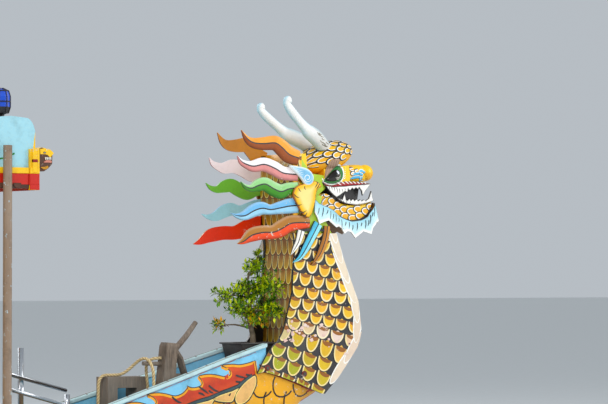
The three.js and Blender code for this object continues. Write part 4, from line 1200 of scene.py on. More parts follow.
TOOTH_TICKS = [
    ((5.420, 2.722), (5.430, 2.694)), ((5.446, 2.718), (5.456, 2.690)), ((5.474, 2.714), (5.482, 2.682)),
    ((5.500, 2.712), (5.512, 2.668)), ((5.528, 2.704), (5.534, 2.664)), ((5.556, 2.702), (5.562, 2.676)),
    ((5.586, 2.708), (5.590, 2.690)), ((5.618, 2.712), (5.620, 2.704)), ((5.536, 2.616), (5.556, 2.598)),
    ((5.566, 2.604), (5.580, 2.590)), ((5.600, 2.600), (5.606, 2.586)), ((5.640, 2.596), (5.642, 2.582)),
]


# Strokes round the pupil: radius, width, paint, and the angles where they start and end
IRIS = [
    (0.030, 0.011, rgb("8d8b80"), -2.6, 0.9), (0.020, 0.006, rgb("cfcfc8"), -2.2, 0.5),
    (0.012, 0.008, rgb("4c4337"), -3.0, 3.1), (0.034, 0.004, rgb("d8d4c4"), -2.0, 0.2),
]
GLEAM = [(5.498, 2.858), (5.512, 2.850), (5.516, 2.834), (5.504, 2.826), (5.494, 2.838), (5.490, 2.850)]
BITE = [(5.350, 2.757), (5.388, 2.728), (5.426, 2.686), (5.466, 2.652), (5.500, 2.630), (5.540, 2.602),
        (5.586, 2.584)]


def sighted(side, reach):
    """Gives place(u, v, h): u, v at a reach from the centreline, carried aft or forward onto the carving."""
    tree = BVHTree.FromPolygons(*mesh_of("head", "skull"))
    line = Vector((0.574, -side * 0.819, 0))

    def place(u, v, h=0.0):
        start = Vector((u, side * reach, v)) - line
        spot = tree.ray_cast(start, line, 1.4)[0] or Vector((u, side * reach, v))
        return (spot.x, spot.y + side * h, spot.z)

    return place


def eye_surround(name, side):
    """The pale, green and brown fields round one eye, and short pale strokes in front of it."""
    seen, shape, pale = sighted(side, FACE_SIDE), Shape(), rgb("e9efe6")

    def leafy(u, v, gap):
        return steps(gap, (0.002, INK), (9, blend(rgb("1f5a2c"), rgb("2f7a35"), min(1, gap / 0.02))))

    def worn(u, v, gap):
        return blend(rgb("8d7262"), rgb("b29683"), 0.5 + 0.5 * math.sin(u * 260 - v * 90))

    for rim, low, high, tone, grid, ease, width in (
            (WHITE_RIM, -0.002, 0.0050, lambda u, v, gap: pale, 0.012, 0.002, 0.006),
            (GREEN_RIM, 0.003, 0.0085, leafy, 0.009, 0.002, 0.006),
            (BROW, 0.004, 0.0110, worn, 0.009, 0.004, 0.010)):
        panel(shape, curve(rim, 3, True), seen, low, high, tone, grid, ease, width)
    for k in range(7):
        line = [(5.585 + 0.004 * k, 2.790 + 0.020 * k), (5.604, 2.800 + 0.018 * k)]
        brush(shape, line, on_side(side, FACE_SIDE), 0.008, pale, 0.0035, -0.002)
    make(shape, f"eye_surround_{name}", "head_paint")


def eyeball(name, side):
    """One bulging eye with brushed rings round the pupil and a gleam."""
    shape, place = Shape(), on_side(side, FACE_SIDE)
    rim, (cu, cv), dark = curve(EYE_RIM, 3, True), EYE_CENTRE, rgb("14110f")
    rings = [shape.ring([place(u, v, 0.002) for u, v in rim])]
    for level in (1.0, 0.94, 0.82, 0.66, 0.48, 0.30, 0.14):
        lift = 0.0085 + 0.030 * math.sqrt(max(0, 1 - level ** 2))
        rings.append(shape.ring([place(cu + (u - cu) * level, cv + (v - cv) * level, lift) for u, v in rim]))
    for a, b in zip(rings, rings[1:]):
        shape.bridge(a, b, dark)
    shape.fan(rings[-1], place(cu, cv, 0.0385), dark)
    shape.cap(rings[0], INK)
    over = surface_of(shape.points, shape.faces, (0, side, 0))
    for radius, width, tone, a0, a1 in IRIS:
        arc = [(cu + 0.012 + radius * math.cos(a), cv + radius * math.sin(a))
               for a in (a0 + (a1 - a0) * k / 8 for k in range(9))]
        brush(shape, arc, over, width, tone, 0.0016, -0.002)
    panel(shape, curve(GLEAM, 2, True), over, -0.001, 0.0022, lambda u, v, gap: rgb("dfe8f2"), 0.008, 0.0005,
          0.003)
    make(shape, f"eye_{name}_painted", "eye_gloss", replaces=[f"eye_{name}"])


def teeth(name, side):
    """The red lip and both rows of teeth on one side, with their ticks and the line of the bite."""
    shape, place = Shape(), on_side(side, FACE_SIDE)

    def red(u, v, gap):
        return steps(gap, (0.0016, INK), (9, rgb("9c1d22")))

    def ivory(u, v, gap):
        return steps(gap, (0.0022, INK), (9, blend(rgb("ece9e2"), WHITE, min(1, gap / 0.015))))

    def ticks(ends, forward, *how):
        for a, b in ends:
            middle = ((a[0] + b[0]) / 2 + forward, (a[1] + b[1]) / 2)
            shape.stroke([a, middle, b], place, *how)

    panel(shape, curve(LIP, 2, True), place, -0.001, 0.0135, red, 0.010, 0.004, 0.008)
    ticks(LIP_TICKS, 0.003, [0.004, 0.010, 0.0015], rgb("f1ece4"), 0.006, 0.0142)
    for outline in (UPPER_TEETH, LOWER_TEETH):
        panel(shape, outline, place, -0.001, 0.0165, ivory, 0.0075, 0.003, 0.006)
    ticks(TOOTH_TICKS, 0.002, [0.0055, 0.0045, 0.001], INK, 0.010, 0.0171)
    shape.stroke(BITE, place, 0.007, INK, 0.0, 0.0172)
    make(shape, f"teeth_{name}", "tooth_paint")


# Lower jaw: rim from the hinge along the top, round the chin and back, x and z
JAW_RIM = [
    (5.308, 2.640), (5.351, 2.658), (5.403, 2.660), (5.450, 2.640), (5.498, 2.606), (5.546, 2.584),
    (5.610, 2.571), (5.706, 2.567), (5.802, 2.575), (5.876, 2.600), (5.868, 2.551), (5.848, 2.502),
    (5.792, 2.458), (5.706, 2.433), (5.625, 2.437), (5.562, 2.458), (5.514, 2.478), (5.466, 2.496),
    (5.418, 2.519), (5.363, 2.534), (5.318, 2.566), (5.306, 2.605),
]
CHIN = (5.868, 2.551)
JAW_SCALES = [
    (5.345, 2.590), (5.395, 2.640), (5.372, 2.560), (5.440, 2.605), (5.430, 2.545), (5.500, 2.575),
    (5.495, 2.512), (5.562, 2.535), (5.575, 2.478), (5.635, 2.520), (5.650, 2.462), (5.705, 2.540),
    (5.725, 2.485), (5.790, 2.525), (5.840, 2.560),
]
TONGUE = [(5.45, 2.612), (5.52, 2.626), (5.60, 2.628), (5.68, 2.640), (5.76, 2.622), (5.80, 2.590),
          (5.70, 2.560), (5.50, 2.560)]
# Outline of the near-black board that stands in for the shade inside the mouth
MOUTH_SHADE = [(5.43, 2.700), (5.56, 2.712), (5.775, 2.732), (5.765, 2.66), (5.75, 2.58), (5.47, 2.60)]


def lower_jaw():
    """The jaw with scales and an inked rim, the tongue, and a near-black board as painted shade between the teeth."""
    shape, rim = Shape(), curve(JAW_RIM, 3, True)
    under = rim[rim.index(min(rim, key=lambda p: math.hypot(p[0] - CHIN[0], p[1] - CHIN[1]))):] + rim[:1]
    # Painted shade: the jaw turns ochre towards its lower edge
    gold = lambda u, v, gap: blend(GOLD, OCHRE, min(1, max(0, (2.53 - v) * 9)))
    for side in SIDES.values():
        place = on_side(side, FACE_SIDE)
        panel(shape, rim, place, -FACE_SIDE, -0.0045, gold, 0.02, 0.008, 0.02)
        scales = Scales(shape, place, -0.0035, -0.0012, rim, 0.0075, 0.009)
        for x, z in sorted(JAW_SCALES, reverse=True):
            fill = blend(GOLD, OCHRE, random.uniform(0.1, 0.8))
            lean = math.radians(-100 + 40 * (x < 5.4))
            scales.add((x - 0.020, z + 0.002), 0.076, 0.070, lean, fill, OCHRE, WHITE)
        shape.stroke(under, place, 0.019, INK, -0.012, -0.0004)
    for side in SIDES.values():
        panel(shape, curve(TONGUE, 3, True), on_side(side, 0), 0, 0.058, lambda u, v, gap: rgb("b9433a"),
              0.02, 0.016, 0.03)
    # A near-black board inside the mouth, painted shade between the teeth
    shape.slab(MOUTH_SHADE, on_side(1, 0), -0.11, 0.11, rgb("1b1a1c"))
    make(shape, "lower_jaw_carved", "jaw_paint", replaces=["lower_jaw"])


# The frill round the jaw, from the ear to the chin: x, distance from the centreline, upper z, lower z, and
# how far it slopes outwards for each metre down
BEARD = [
    (5.215, 0.238, 2.610, 2.500, 0.0), (5.240, 0.238, 2.590, 2.450, 0.03),
    (5.257, 0.238, 2.576, 2.402, 0.05), (5.300, 0.238, 2.560, 2.420, 0.08),
    (5.345, 0.238, 2.545, 2.434, 0.10), (5.385, 0.224, 2.532, 2.406, 0.15),
    (5.422, 0.208, 2.520, 2.376, 0.20), (5.462, 0.183, 2.502, 2.387, 0.25),
    (5.510, 0.161, 2.480, 2.371, 0.30), (5.545, 0.153, 2.463, 2.325, 0.33),
    (5.589, 0.153, 2.446, 2.347, 0.33), (5.629, 0.153, 2.436, 2.340, 0.33),
    (5.661, 0.153, 2.430, 2.289, 0.33), (5.709, 0.153, 2.434, 2.318, 0.33),
    (5.758, 0.153, 2.440, 2.346, 0.33), (5.798, 0.153, 2.458, 2.333, 0.33),
    (5.826, 0.153, 2.474, 2.323, 0.33), (5.850, 0.153, 2.505, 2.372, 0.32),
    (5.876, 0.153, 2.535, 2.414, 0.30), (5.900, 0.140, 2.566, 2.436, 0.26),
    (5.915, 0.125, 2.585, 2.452, 0.24), (5.928, 0.098, 2.592, 2.420, 0.20),
    (5.936, 0.065, 2.594, 2.446, 0.18), (5.941, 0.030, 2.595, 2.404, 0.18),
    (5.942, 0.0, 2.595, 2.440, 0.18),
]
# Its paint from the top edge down: share of the drop, colour
BEARD_BANDS = [(0.0, INK), (0.05, rgb("9fd3e3")), (0.3, rgb("b4dfea")), (0.55, rgb("bfe5ee")),
               (0.78, rgb("cdeaf1")), (0.9, rgb("f4f6f2")), (1.0, rgb("f4f6f2"))]


def beard():
    """The pale frill round the jaw, flared, with a ragged white edge and dark dashes; painted shade on its inner face.
    """
    whole = [(x, -y, *rest) for x, y, *rest in BEARD] + BEARD[-2::-1]
    shape, columns = Shape(), []
    shares = [share for share, _ in BEARD_BANDS]
    for i, (x, y, top, low, flare) in enumerate(whole):
        (x0, y0, *_), (x1, y1, *_) = beside(whole, i)
        out = Vector((y1 - y0, -(x1 - x0), 0)).normalized()
        ripple = 0.0025 * math.sin(i * 2.1)
        at = lambda away, z: (Vector((x, y, z)) + out * (away + flare * (top - z) + ripple))
        outer = [at(0.0160, top + (low - top) * s) for s in shares]
        inner = [at(0.0015, top + (low - top) * s) for s in reversed(shares)]
        columns.append(shape.ring(outer + inner))
    # The outer face takes the bands; the inner face is dark brown, painted shade
    paints = [paint for _, paint in BEARD_BANDS] + [rgb("5a3d1c")] * len(shares)
    for a, b in zip(columns, columns[1:]):
        shape.bridge(a, b, paints, paints)
    for ring in (columns[0], columns[-1]):
        shape.cap(ring, PALE_BLUE)
    for side in SIDES.values():
        over = surface_of(shape.points, shape.faces, (0, side, 0))
        for k, (x, _, top, low, _) in enumerate(BEARD[2:20]):
            drop = top - low
            start, end = (0.14, 0.72) if k % 2 else (0.22, 0.56)
            line = [(x, top - drop * start), (x - 0.006, top - drop * (start + end) / 2),
                    (x - 0.020, top - drop * end)]
            brush(shape, line, over, 0.0078, INK, 0.0014, -0.003)
    make(shape, "beard_carved", "beard_paint", replaces=["beard"], crease=55)


# Horn centreline from the skull to the bulb: x, z, radius
HORN = [
    (5.400, 3.030, 0.074), (5.305, 3.122, 0.072), (5.210, 3.180, 0.061), (5.180, 3.205, 0.048),
    (5.117, 3.257, 0.041), (5.028, 3.336, 0.041), (4.975, 3.395, 0.035), (4.968, 3.414, 0.033),
    (4.976, 3.434, 0.039), (4.988, 3.456, 0.026), (4.994, 3.466, 0.007),
]
# Its distance from the centreline at the foot and the tip, and how deep its foot sits in the skull
HORN_FOOT, HORN_TIP, HORN_SUNK = 0.153, 0.199, 0.066
HORN_DROOP = {"starboard": 0.0, "port": 0.040}


def horns():
    """The two horns, white with bluish painted shade along their edges, with scratches near the foot."""
    points, turn = curve(HORN, 3), circle(0, 0, 1, 14)
    for name, side in SIDES.items():
        shape, rings, paints = Shape(), [], []
        for k, (x, z, r) in enumerate(points):
            (x0, z0, _), (x1, z1, _) = beside(points, k)
            along = Vector((x1 - x0, 0, z1 - z0)).normalized()
            up = Vector((-along.z, 0, along.x))
            share = min(1, max(0, (z - 3.100) / 0.340))
            sunk = HORN_SUNK * min(1, max(0, (3.175 - z) / 0.145))
            r -= 0.2 * sunk
            aside = HORN_FOOT + (HORN_TIP - HORN_FOOT) * share - sunk
            middle = Vector((x + 0.7 * sunk, side * aside, z - HORN_DROOP[name] * share))
            rings.append([middle + up * (r * s) + Vector((0, 0.9 * r * c, 0)) for c, s in turn])
            root = max(0, 1 - k / 9)
            # Painted shade: blue along the horn's upper and lower edges, white between
            pale = [blend(rgb("f1f1ee"), rgb("a9d8e8"), max(0, abs(s) - 0.55) * 2) for _, s in turn]
            paints.append([blend(tone, rgb("8d8474"), root * 0.35) for tone in pale])
        shape.loft(rings, paints)
        over = surface_of(shape.points, shape.faces, (0, side, 0))
        for k in range(12):
            x = 5.27 + 0.012 * k + random.uniform(-0.004, 0.004)
            z = 3.135 + random.uniform(-0.03, 0.035) - (x - 5.3) * 0.75
            brush(shape, [(x, z), (x + 0.02, z - 0.012), (x + 0.045, z - 0.016)], over, 0.006, rgb("77705f"),
                  0.0012, -0.002)
        make(shape, f"horn_{name}_carved", "horn_paint", replaces=[f"horn_{name}"])


def head_block():
    """Paint on the head's block: cheeks, scales behind, and the boards under the skull."""
    for name, side in SIDES.items():
        shape, place = Shape(), on_side(side, HEAD_SIDE)
        limits = [(5.004, 2.36), (5.09, 2.36), (5.09, 2.985), (5.06, 2.985), (5.002, 2.88), (4.996, 2.70)]
        scales = Scales(shape, place, 0.0002, 0.0016, limits)
        for k in range(7):
            for j in range(2):
                tip = (5.02 + 0.06 * j, 2.345 + 0.095 * k + 0.04 * j)
                scales.add(tip, 0.062, 0.10, 0, OCHRE, GOLD, CREAM, BROWN)
        make(shape, f"cheek_scales_{name}", "head_paint")
    shape, place = Shape(), surface("head", (-1, 0, 0))
    limits = rectangle(-0.228, 2.36, 0.228, 2.93)
    edges = [[(y, 2.36 + 0.057 * k) for k in range(11)] for y in (-0.228, 0.228)]
    shape.ribbon(*edges, place, INK, -0.004, 0.0008)
    scales = Scales(shape, place, 0.0011, 0.0042, limits, 0.006, 0.008)
    for k in range(5):
        for j in range(6):
            back_scale(scales, -0.215 + 0.088 * j - 0.044 * (k % 2), 2.375 + 0.120 * k, j, (0.1, 0.5), 0.25)
    make(shape, "nape_scales", "head_paint")


def head_tone(spot, normal):
    """The head's block: green cheeks, an ochre back and underside and a dark mouth as painted shade, white edge
    towards the mouth.
    """
    # Painted shade: faces turned aft or down are darkened towards brown
    if normal.x < -0.55 or normal.z < -0.6:
        return blend(OCHRE, BROWN, 0.4)
    if abs(normal.y) > 0.3 and spot.z > 2.86:
        return GOLD
    if abs(spot.y) < 0.155 and spot.z > 2.73:
        return GOLD
    if abs(normal.y) > 0.3 or abs(spot.y) > 0.151:
        return rgb("b3cf5c")
    # Painted shade: the inside of the mouth is near-black
    if spot.z < 2.73 and abs(spot.y) < 0.2:
        return rgb("2a1c1a")
    return GOLD


# The painted sides of the bow and the hull

# Height of the teal line under the red field, and the lower edge of the neck's board: x, z
BORDER = [
    (-6.30, 0.80), (-5.60, 0.60), (-4.80, 0.46), (-3.80, 0.39), (0.60, 0.385), (1.30, 0.42), (2.00, 0.50),
    (2.60, 0.585), (3.15, 0.700), (3.60, 0.815), (4.058, 0.949), (4.179, 0.973), (4.292, 1.011),
    (4.464, 1.061), (4.520, 1.101), (4.586, 1.140), (4.640, 1.158),
]
NECK_EDGE = [(4.640, 1.158), (4.711, 1.176), (4.862, 1.132), (5.040, 1.072), (5.295, 0.976), (5.60, 0.86)]
WATERLINE_BAND = 0.035
NECK_FOOT = 4.64  # x where the neck's board starts over the side


def at_x(line, x):
    """The second value of a line of pairs at a first value."""
    for (x0, v0), (x1, v1) in zip(line, line[1:]):
        if x <= x1:
            return v0 + (v1 - v0) * max(0, x - x0) / (x1 - x0)
    return line[-1][1]


class Side:
    """One outer side of the hull with its bulwark: where it starts and ends at each x, and places on it."""

    def __init__(self, name, side):
        self.tree = BVHTree.FromPolygons(*mesh_of("hull", f"bulwark_{name}", "stern_bulwark"))
        self.side = side
        self.spans = [(x, *self.span(x)) for x in (-6.24 + 0.06 * k for k in range(196))]
        self.spans = [row for row in self.spans if row[1] is not None]
        self.first, self.last = self.spans[0][0] + 0.02, self.spans[-1][0] - 0.02

    def hit(self, x, z):
        return self.tree.ray_cast(Vector((x, self.side * 5, z)), Vector((0, -self.side, 0)))[0]

    def span(self, x):
        seen = [z for z in (0.02 + 0.012 * k for k in range(116)) if self.hit(x, z)]
        return (seen[0] + 0.006, seen[-1] - 0.004) if len(seen) > 2 else (None, None)

    def low(self, x):
        return max(WATERLINE_BAND, at_x([(a, b) for a, b, _ in self.spans], x))

    def high(self, x):
        top = at_x([(a, c) for a, _, c in self.spans], x)
        return min(top, at_x(NECK_EDGE, x) - 0.002) if x > NECK_FOOT else top

    def under(self, x):
        """The upper edge of the gold field: the teal line, or the neck's board."""
        return min(self.high(x), at_x(BORDER, x)) if x < NECK_FOOT else self.high(x)

    def place(self, x, z, h=0.0):
        spot = self.hit(x, z) or self.tree.find_nearest(Vector((x, self.side * 0.3, z)))[0]
        return (x, spot.y + self.side * (h + 0.0014 if h > 0 else h), z)

    def skin(self, shape, x0, x1, low, high, rows, step, h, tone):
        """A thin painted sheet between two lines, following the planking."""
        count = max(2, round((x1 - x0) / step))
        fronts, backs, paints = [], [], []
        for i in range(count + 1):
            x = x0 + (x1 - x0) * i / count
            a, b = low(x), max(high(x), low(x) + 0.004)
            levels = [a + (b - a) * j / rows for j in range(rows + 1)]
            fronts.append(shape.ring([self.place(x, z, h) for z in levels]))
            backs.append(shape.ring([self.place(x, z, -0.004) for z in reversed(levels)]))
            paints.append([tone(x, z) for z in levels] + [tone(x, z) for z in reversed(levels)])
        columns = [f + b for f, b in zip(fronts, backs)]
        for a, b, pa, pb in zip(columns, columns[1:], paints, paints[1:]):
            shape.bridge(a, b, pa, pb)
        for column, paint in ((columns[0], paints[0]), (columns[-1], paints[-1])):
            for j in range(rows):
                k = 2 * rows + 1 - j
                shape.face((column[j], column[j + 1], column[k - 1], column[k]), paint[0])


CLOUD = [(4.700, 1.300), (4.655, 1.269), (4.572, 1.243), (4.473, 1.228), (4.392, 1.234), (4.294, 1.228),
         (4.294, 1.218), (4.343, 1.200), (4.375, 1.172), (4.371, 1.145), (4.326, 1.132), (4.213, 1.152),
         (4.130, 1.156), (4.051, 1.145), (4.062, 1.124), (4.080, 1.104), (4.084, 1.077), (4.052, 1.057),
         (3.985, 1.050), (3.930, 1.066)]
LEAVES = [
    [(4.634, 1.150), (4.586, 1.130), (4.520, 1.090), (4.450, 1.022), (4.426, 0.978), (4.436, 0.922),
     (4.500, 0.905), (4.575, 0.945), (4.622, 1.014), (4.648, 1.064), (4.652, 1.110)],
    [(4.474, 1.052), (4.389, 1.024), (4.267, 0.993), (4.200, 0.964), (4.206, 0.956), (4.259, 0.937),
     (4.389, 0.927), (4.422, 0.962), (4.442, 1.006)],
]
DASHES = [[(4.156, 1.075), (4.221, 1.033), (4.262, 1.025)], [(4.433, 1.151), (4.490, 1.136), (4.539, 1.128)],
          [(4.433, 1.100), (4.466, 1.096), (4.498, 1.095)], [(4.539, 1.156), (4.565, 1.150), (4.589, 1.149)]]


def carried(line, shift):
    """A line moved along the hull, keeping its height over the teal line."""
    return [(x + shift, z - at_x(BORDER, x) + at_x(BORDER, x + shift)) for x, z in line]


def bow_paintings(name, side):
    """The gold and the red field on one side of the hull, and all that is painted over them."""
    hull, field, marks = Side(name, side), Shape(), Shape()
    gold = lambda x, z: blend(OCHRE, rgb("d99a1c"), 0.5 + 0.5 * math.sin(x * 7 + z * 9))
    brick = lambda x, z: blend(RED, rgb("d8562a"), 0.5 + 0.5 * math.sin(x * 9 - z * 31))
    line = lambda x: max(hull.low(x), min(at_x(BORDER, x), hull.high(x) - 0.006))
    hull.skin(field, hull.first, hull.last, hull.low, hull.under, 6, 0.07, 0.0016, gold)
    hull.skin(field, hull.first, NECK_FOOT, line, hull.high, 6, 0.07, 0.0018, brick)
    make(field, f"side_fields_{name}", "hull_paint")
    for draw in (scale_arcs, painted_leaves, teal_line, clouds, dashes):
        draw(marks, hull)
    make(marks, f"side_marks_{name}", "hull_paint")


def scale_arcs(marks, hull):
    """Big scales under the teal line, each an arc that leans aft."""
    arc = [(0.104 * c, 0.118 * (1 - s) ** 0.9) for c, s in half_turn(10)]
    for row in range(8):
        for k in range(60):
            x, z = 5.30 - 0.205 * k - 0.10 * (row % 2) - 0.02 * row, 0.10 + 0.125 * row
            lean = math.radians(-62 if x < 3.6 else -35)
            cos, sin = math.cos(lean), math.sin(lean)
            line = [(x + s * cos - e * sin, z + s * sin + e * cos) for s, e in arc]
            line = [(u, v) for u, v in line if hull.first < u < hull.last
                    and hull.low(u) + 0.006 < v < hull.under(u) - 0.002]
            if len(line) > 3:
                marks.stroke(line, hull.place, 0.0125, INK, -0.002, 0.0036)


def painted_leaves(marks, hull):
    """Tan leaves along the side, cream at the edge."""
    for leaf in LEAVES + [carried(LEAVES[1], -0.235 * k) for k in range(1, 40)]:
        if min(x for x, _ in leaf) < hull.first + 0.1 or max(x for x, _ in leaf) > 4.70:
            continue
        leaf = curve(leaf, 2, True)
        if all(hull.low(x) + 0.01 < z < hull.high(x) for x, z in leaf):
            panel(marks, leaf, hull.place, -0.002, 0.0052, lambda u, v, gap: TAN, 0.05, 0.001, 0.006)
            marks.stroke(leaf + leaf[:2], hull.place, 0.010, INK, 0.0, 0.0060)
            inner = inset(leaf, 0.009)
            marks.stroke(inner + inner[:1], hull.place, 0.008, CREAM, 0.0, 0.0062)


def teal_line(marks, hull):
    """The line over the gold field, and a dark one along its upper edge."""
    stations = [hull.first + (4.60 - hull.first) * j / 150 for j in range(151)]
    edge = [(x, at_x(BORDER, x)) for x in stations if at_x(BORDER, x) < hull.high(x) - 0.01]
    marks.stroke(edge, hull.place, 0.020, TEAL, -0.002, 0.0066)
    marks.stroke([(x, z + 0.014) for x, z in edge], hull.place, 0.008, INK, -0.002, 0.0064)


def clouds(marks, hull):
    """Four clouds that hang from the rail into the red field."""
    for k in range(4):
        lower = [(x, min(z, hull.high(x) - 0.012)) for x, z in curve(carried(CLOUD, -0.76 * k), 3)]
        upper = [(x, hull.high(x) - 0.003) for x in
                 (lower[-1][0] + (lower[0][0] - lower[-1][0]) * j / 12 for j in range(13))]
        panel(marks, lower + upper, hull.place, -0.002, 0.0040, lambda u, v, gap: SKY, 0.05, 0.0008, 0.006)
        marks.stroke(lower, hull.place, 0.026, rgb("f2a52a"), -0.002, 0.0046)
        marks.stroke([(x, z + 0.010) for x, z in lower], hull.place, 0.007, INK, -0.002, 0.0052)


def dashes(marks, hull):
    """Short dark dashes over the red field."""
    for k in range(9):
        for line in DASHES:
            moved = [(x, z + 0.02 * (k % 2)) for x, z in carried(line, -0.38 * k)]
            if moved[0][0] > 2.2:
                brush(marks, moved, hull.place, 0.016, INK, 0.0050, -0.002, ends=(0.5, 0.1))


def rail_fittings(name, side):
    """Rust-stained nails along the cap rail, and a worn dark line on it."""
    tree, down = BVHTree.FromPolygons(*mesh_of(f"cap_rail_{name}")), Vector((0, 0, -1))
    over = lambda x, y: tree.ray_cast(Vector((x, side * y, 3)), down)[0]
    shape = Shape()
    middle = []
    for x in (2.09 + 0.05 * k for k in range(53)):
        ys = [y for y in (0.15 + 0.008 * j for j in range(68)) if over(x, y)]
        if ys:
            y = sum(ys) / len(ys)
            middle.append((x, side * y, over(x, y).z, (ys[-1] - ys[0]) / 2))
    for x, y, z, half in middle[1:-1:4]:
        for way in (-0.55, 0.5):
            spot = Vector((x + 0.012 * way, y + way * half, z))
            ground = tree.ray_cast(spot + Vector((0, 0, 1)), down)[0] or spot
            nail = [[ground + Vector((u, v, h)) for u, v in circle(0, 0, r, 8)]
                    for r, h in ((0.0075, -0.002), (0.0075, 0.001), (0.004, 0.003))]
            shape.loft(nail, [rgb("6b3a22")] * 3)
    rows = [[Vector((x, y + side * (half * 0.55 + w), z + h)) for w, h in
             ((-0.004, -0.002), (-0.004, 0.0012), (0.004, 0.0012), (0.004, -0.002))]
            for x, y, z, half in middle]
    shape.loft(rows, [rgb("5b5a3a")] * len(rows))
    make(shape, f"rail_fittings_{name}", "rail_paint")


# The foredeck's planks: x of the first, from one to the next, width, lower and upper face
PLANK_START, PLANK_PITCH, PLANK_WIDTH, PLANK_LOW, PLANK_HIGH = 2.10, 0.125, 0.121, 0.596, 0.6012


def foredeck():
    """Planks across the foredeck, each cut to the bulwarks."""
    shape, tree = Shape(), BVHTree.FromPolygons(*mesh_of("bulwark_port"))
    for k in range(20):
        x0 = PLANK_START + PLANK_PITCH * k
        ends = []
        for x in (x0, x0 + PLANK_WIDTH):
            spot = tree.ray_cast(Vector((x, 0, 0.612)), Vector((0, 1, 0)))[0]
            ends.append((x, (spot.y if spot else 0.2) - 0.004))
        tone = blend(rgb("8f7a60"), rgb("6d5a46"), random.random())
        outline = [(x, -y) for x, y in ends] + ends[::-1]
        shape.loft([[(x, y, z) for x, y in outline] for z in (PLANK_LOW, PLANK_HIGH)], [tone] * 2)
    make(shape, "foredeck_planks", "deck_wood", "weathered_paint")


# The plant

BONSAI_FOOT = (4.745, 0.0, 1.355)
TRUNK = [(0.020, 0.004, -0.008, 0.030), (0.018, 0.012, 0.120, 0.024), (-0.030, -0.010, 0.260, 0.019),
         (-0.010, 0.010, 0.420, 0.013), (-0.040, 0.0, 0.590, 0.007)]
# Crowns: centre from the foot, radii along x and z, and how many twigs end in them
CROWNS = [
    (0.100, -0.090, 0.520, 0.150, 0.130, 44), (-0.050, 0.000, 0.450, 0.150, 0.120, 36),
    (-0.260, 0.020, 0.440, 0.120, 0.070, 14), (0.000, -0.030, 0.260, 0.160, 0.110, 30),
    (0.130, -0.130, 0.330, 0.085, 0.110, 30), (0.030, -0.010, 0.670, 0.110, 0.080, 18),
    (0.060, -0.020, 0.770, 0.050, 0.045, 6), (-0.330, 0.000, 0.200, 0.070, 0.060, 7),
    (-0.160, -0.030, 0.330, 0.120, 0.090, 20),
]
# How far the twigs may reach along x and y
CROWN_AFT, CROWN_FORE, CROWN_STARBOARD, CROWN_PORT = 4.315, 4.945, -0.215, 0.150
# The soil's half length, half width, upper and lower face
SOIL_LENGTH, SOIL_WIDTH, SOIL_HIGH, SOIL_LOW = 0.183, 0.136, 1.353, 1.335


def leaf(shape, root, along, up, length, width, paint):
    """A small pointed leaf, folded a little along its rib."""
    across = along.cross(up).normalized()
    rib = along.cross(across).normalized()
    middle = root + along * length * 0.45
    tip = root + along * length + rib * length * 0.12
    ring = [middle + across * width / 2 + rib * width * 0.14, middle + rib * 0.0012,
            middle - across * width / 2 + rib * width * 0.14, middle - rib * 0.0012]
    k = shape.ring([root, *ring, tip])
    dark = blend(paint, INK, 0.18)
    for a, b, tone in ((1, 2, paint), (2, 3, paint), (3, 4, dark), (4, 1, dark)):
        shape.face((k[0], k[a], k[b]), tone)
        shape.face((k[5], k[b], k[a]), tone)


def bonsai():
    """Trunk, boughs and twigs, and the leaves along each twig."""
    foot = Vector(BONSAI_FOOT)
    wood, foliage = Shape(), Shape()
    trunk = curve(TRUNK, 5)
    bark = [blend(rgb("8a7d6c"), rgb("5f5244"), random.random()) for _ in trunk]
    wood.tube([foot + Vector(p[:3]) for p in trunk], [p[3] for p in trunk], bark, 9)
    greens = [rgb("d4e23a"), rgb("b4cf2c"), rgb("8fb526"), rgb("5c8a20"), rgb("35601a")]
    for cx, cy, cz, rx, rz, count in CROWNS:
        centre = foot + Vector((cx, cy, cz))
        heights = [p for p in trunk if 0.10 < p[2] < cz - 0.02] or [trunk[6]]
        fork = foot + Vector(heights[-1][:3])
        bough = [fork, fork.lerp(centre, 0.5) + Vector((0, 0, 0.02)), centre]
        wood.tube(curve(bough, 4), [0.0095 - 0.0055 * k / 8 for k in range(9)], rgb("6f6152"), 6)
        for _ in range(count):
            turn, rise = random.uniform(0, 2 * math.pi), random.uniform(-0.75, 1)
            flat = math.sqrt(1 - rise * rise)
            reach = random.uniform(0.75, 1.15)
            end = centre + Vector((rx * flat * math.cos(turn), min(rx, 0.125) * flat * math.sin(turn),
                                   rz * rise)) * reach
            end.x = min(CROWN_FORE, max(CROWN_AFT, end.x))
            end.y = min(CROWN_PORT, max(CROWN_STARBOARD, end.y))
            start = centre.lerp(fork, random.uniform(0, 0.35))
            twig = curve([start, start.lerp(end, 0.5) + Vector((0, 0, random.uniform(-0.01, 0.03))), end], 4)
            wood.tube(twig, [0.0034 - 0.0022 * k / 8 for k in range(9)], rgb("7a6a58"), 4)
            for k in range(11):
                share = 0.25 + 0.75 * k / 10
                spot = start.lerp(end, share) + Vector((0, 0, 0.02 * math.sin(math.pi * share) * 0.6))
                out = (end - start).normalized()
                spin = k * 2.4 + turn
                aside = out.orthogonal().normalized()
                aside = aside * math.cos(spin) + out.cross(aside) * math.sin(spin)
                along = (out * random.uniform(0.35, 0.9) + aside + Vector((0, 0, 0.25))).normalized()
                ripe = centre.z < foot.z + 0.32 and random.random() < 0.22
                tone = rgb("e8a91c") if ripe else random.choice(greens)
                leaf(foliage, spot, along, Vector((0.1, 0.2, 1)), random.uniform(0.042, 0.060),
                     random.uniform(0.018, 0.025), tone)
    make(wood, "bonsai_wood", "plant", "bark", replaces=["bonsai"], crease=60)
    make(foliage, "bonsai_leaves", "plant", crease=30)


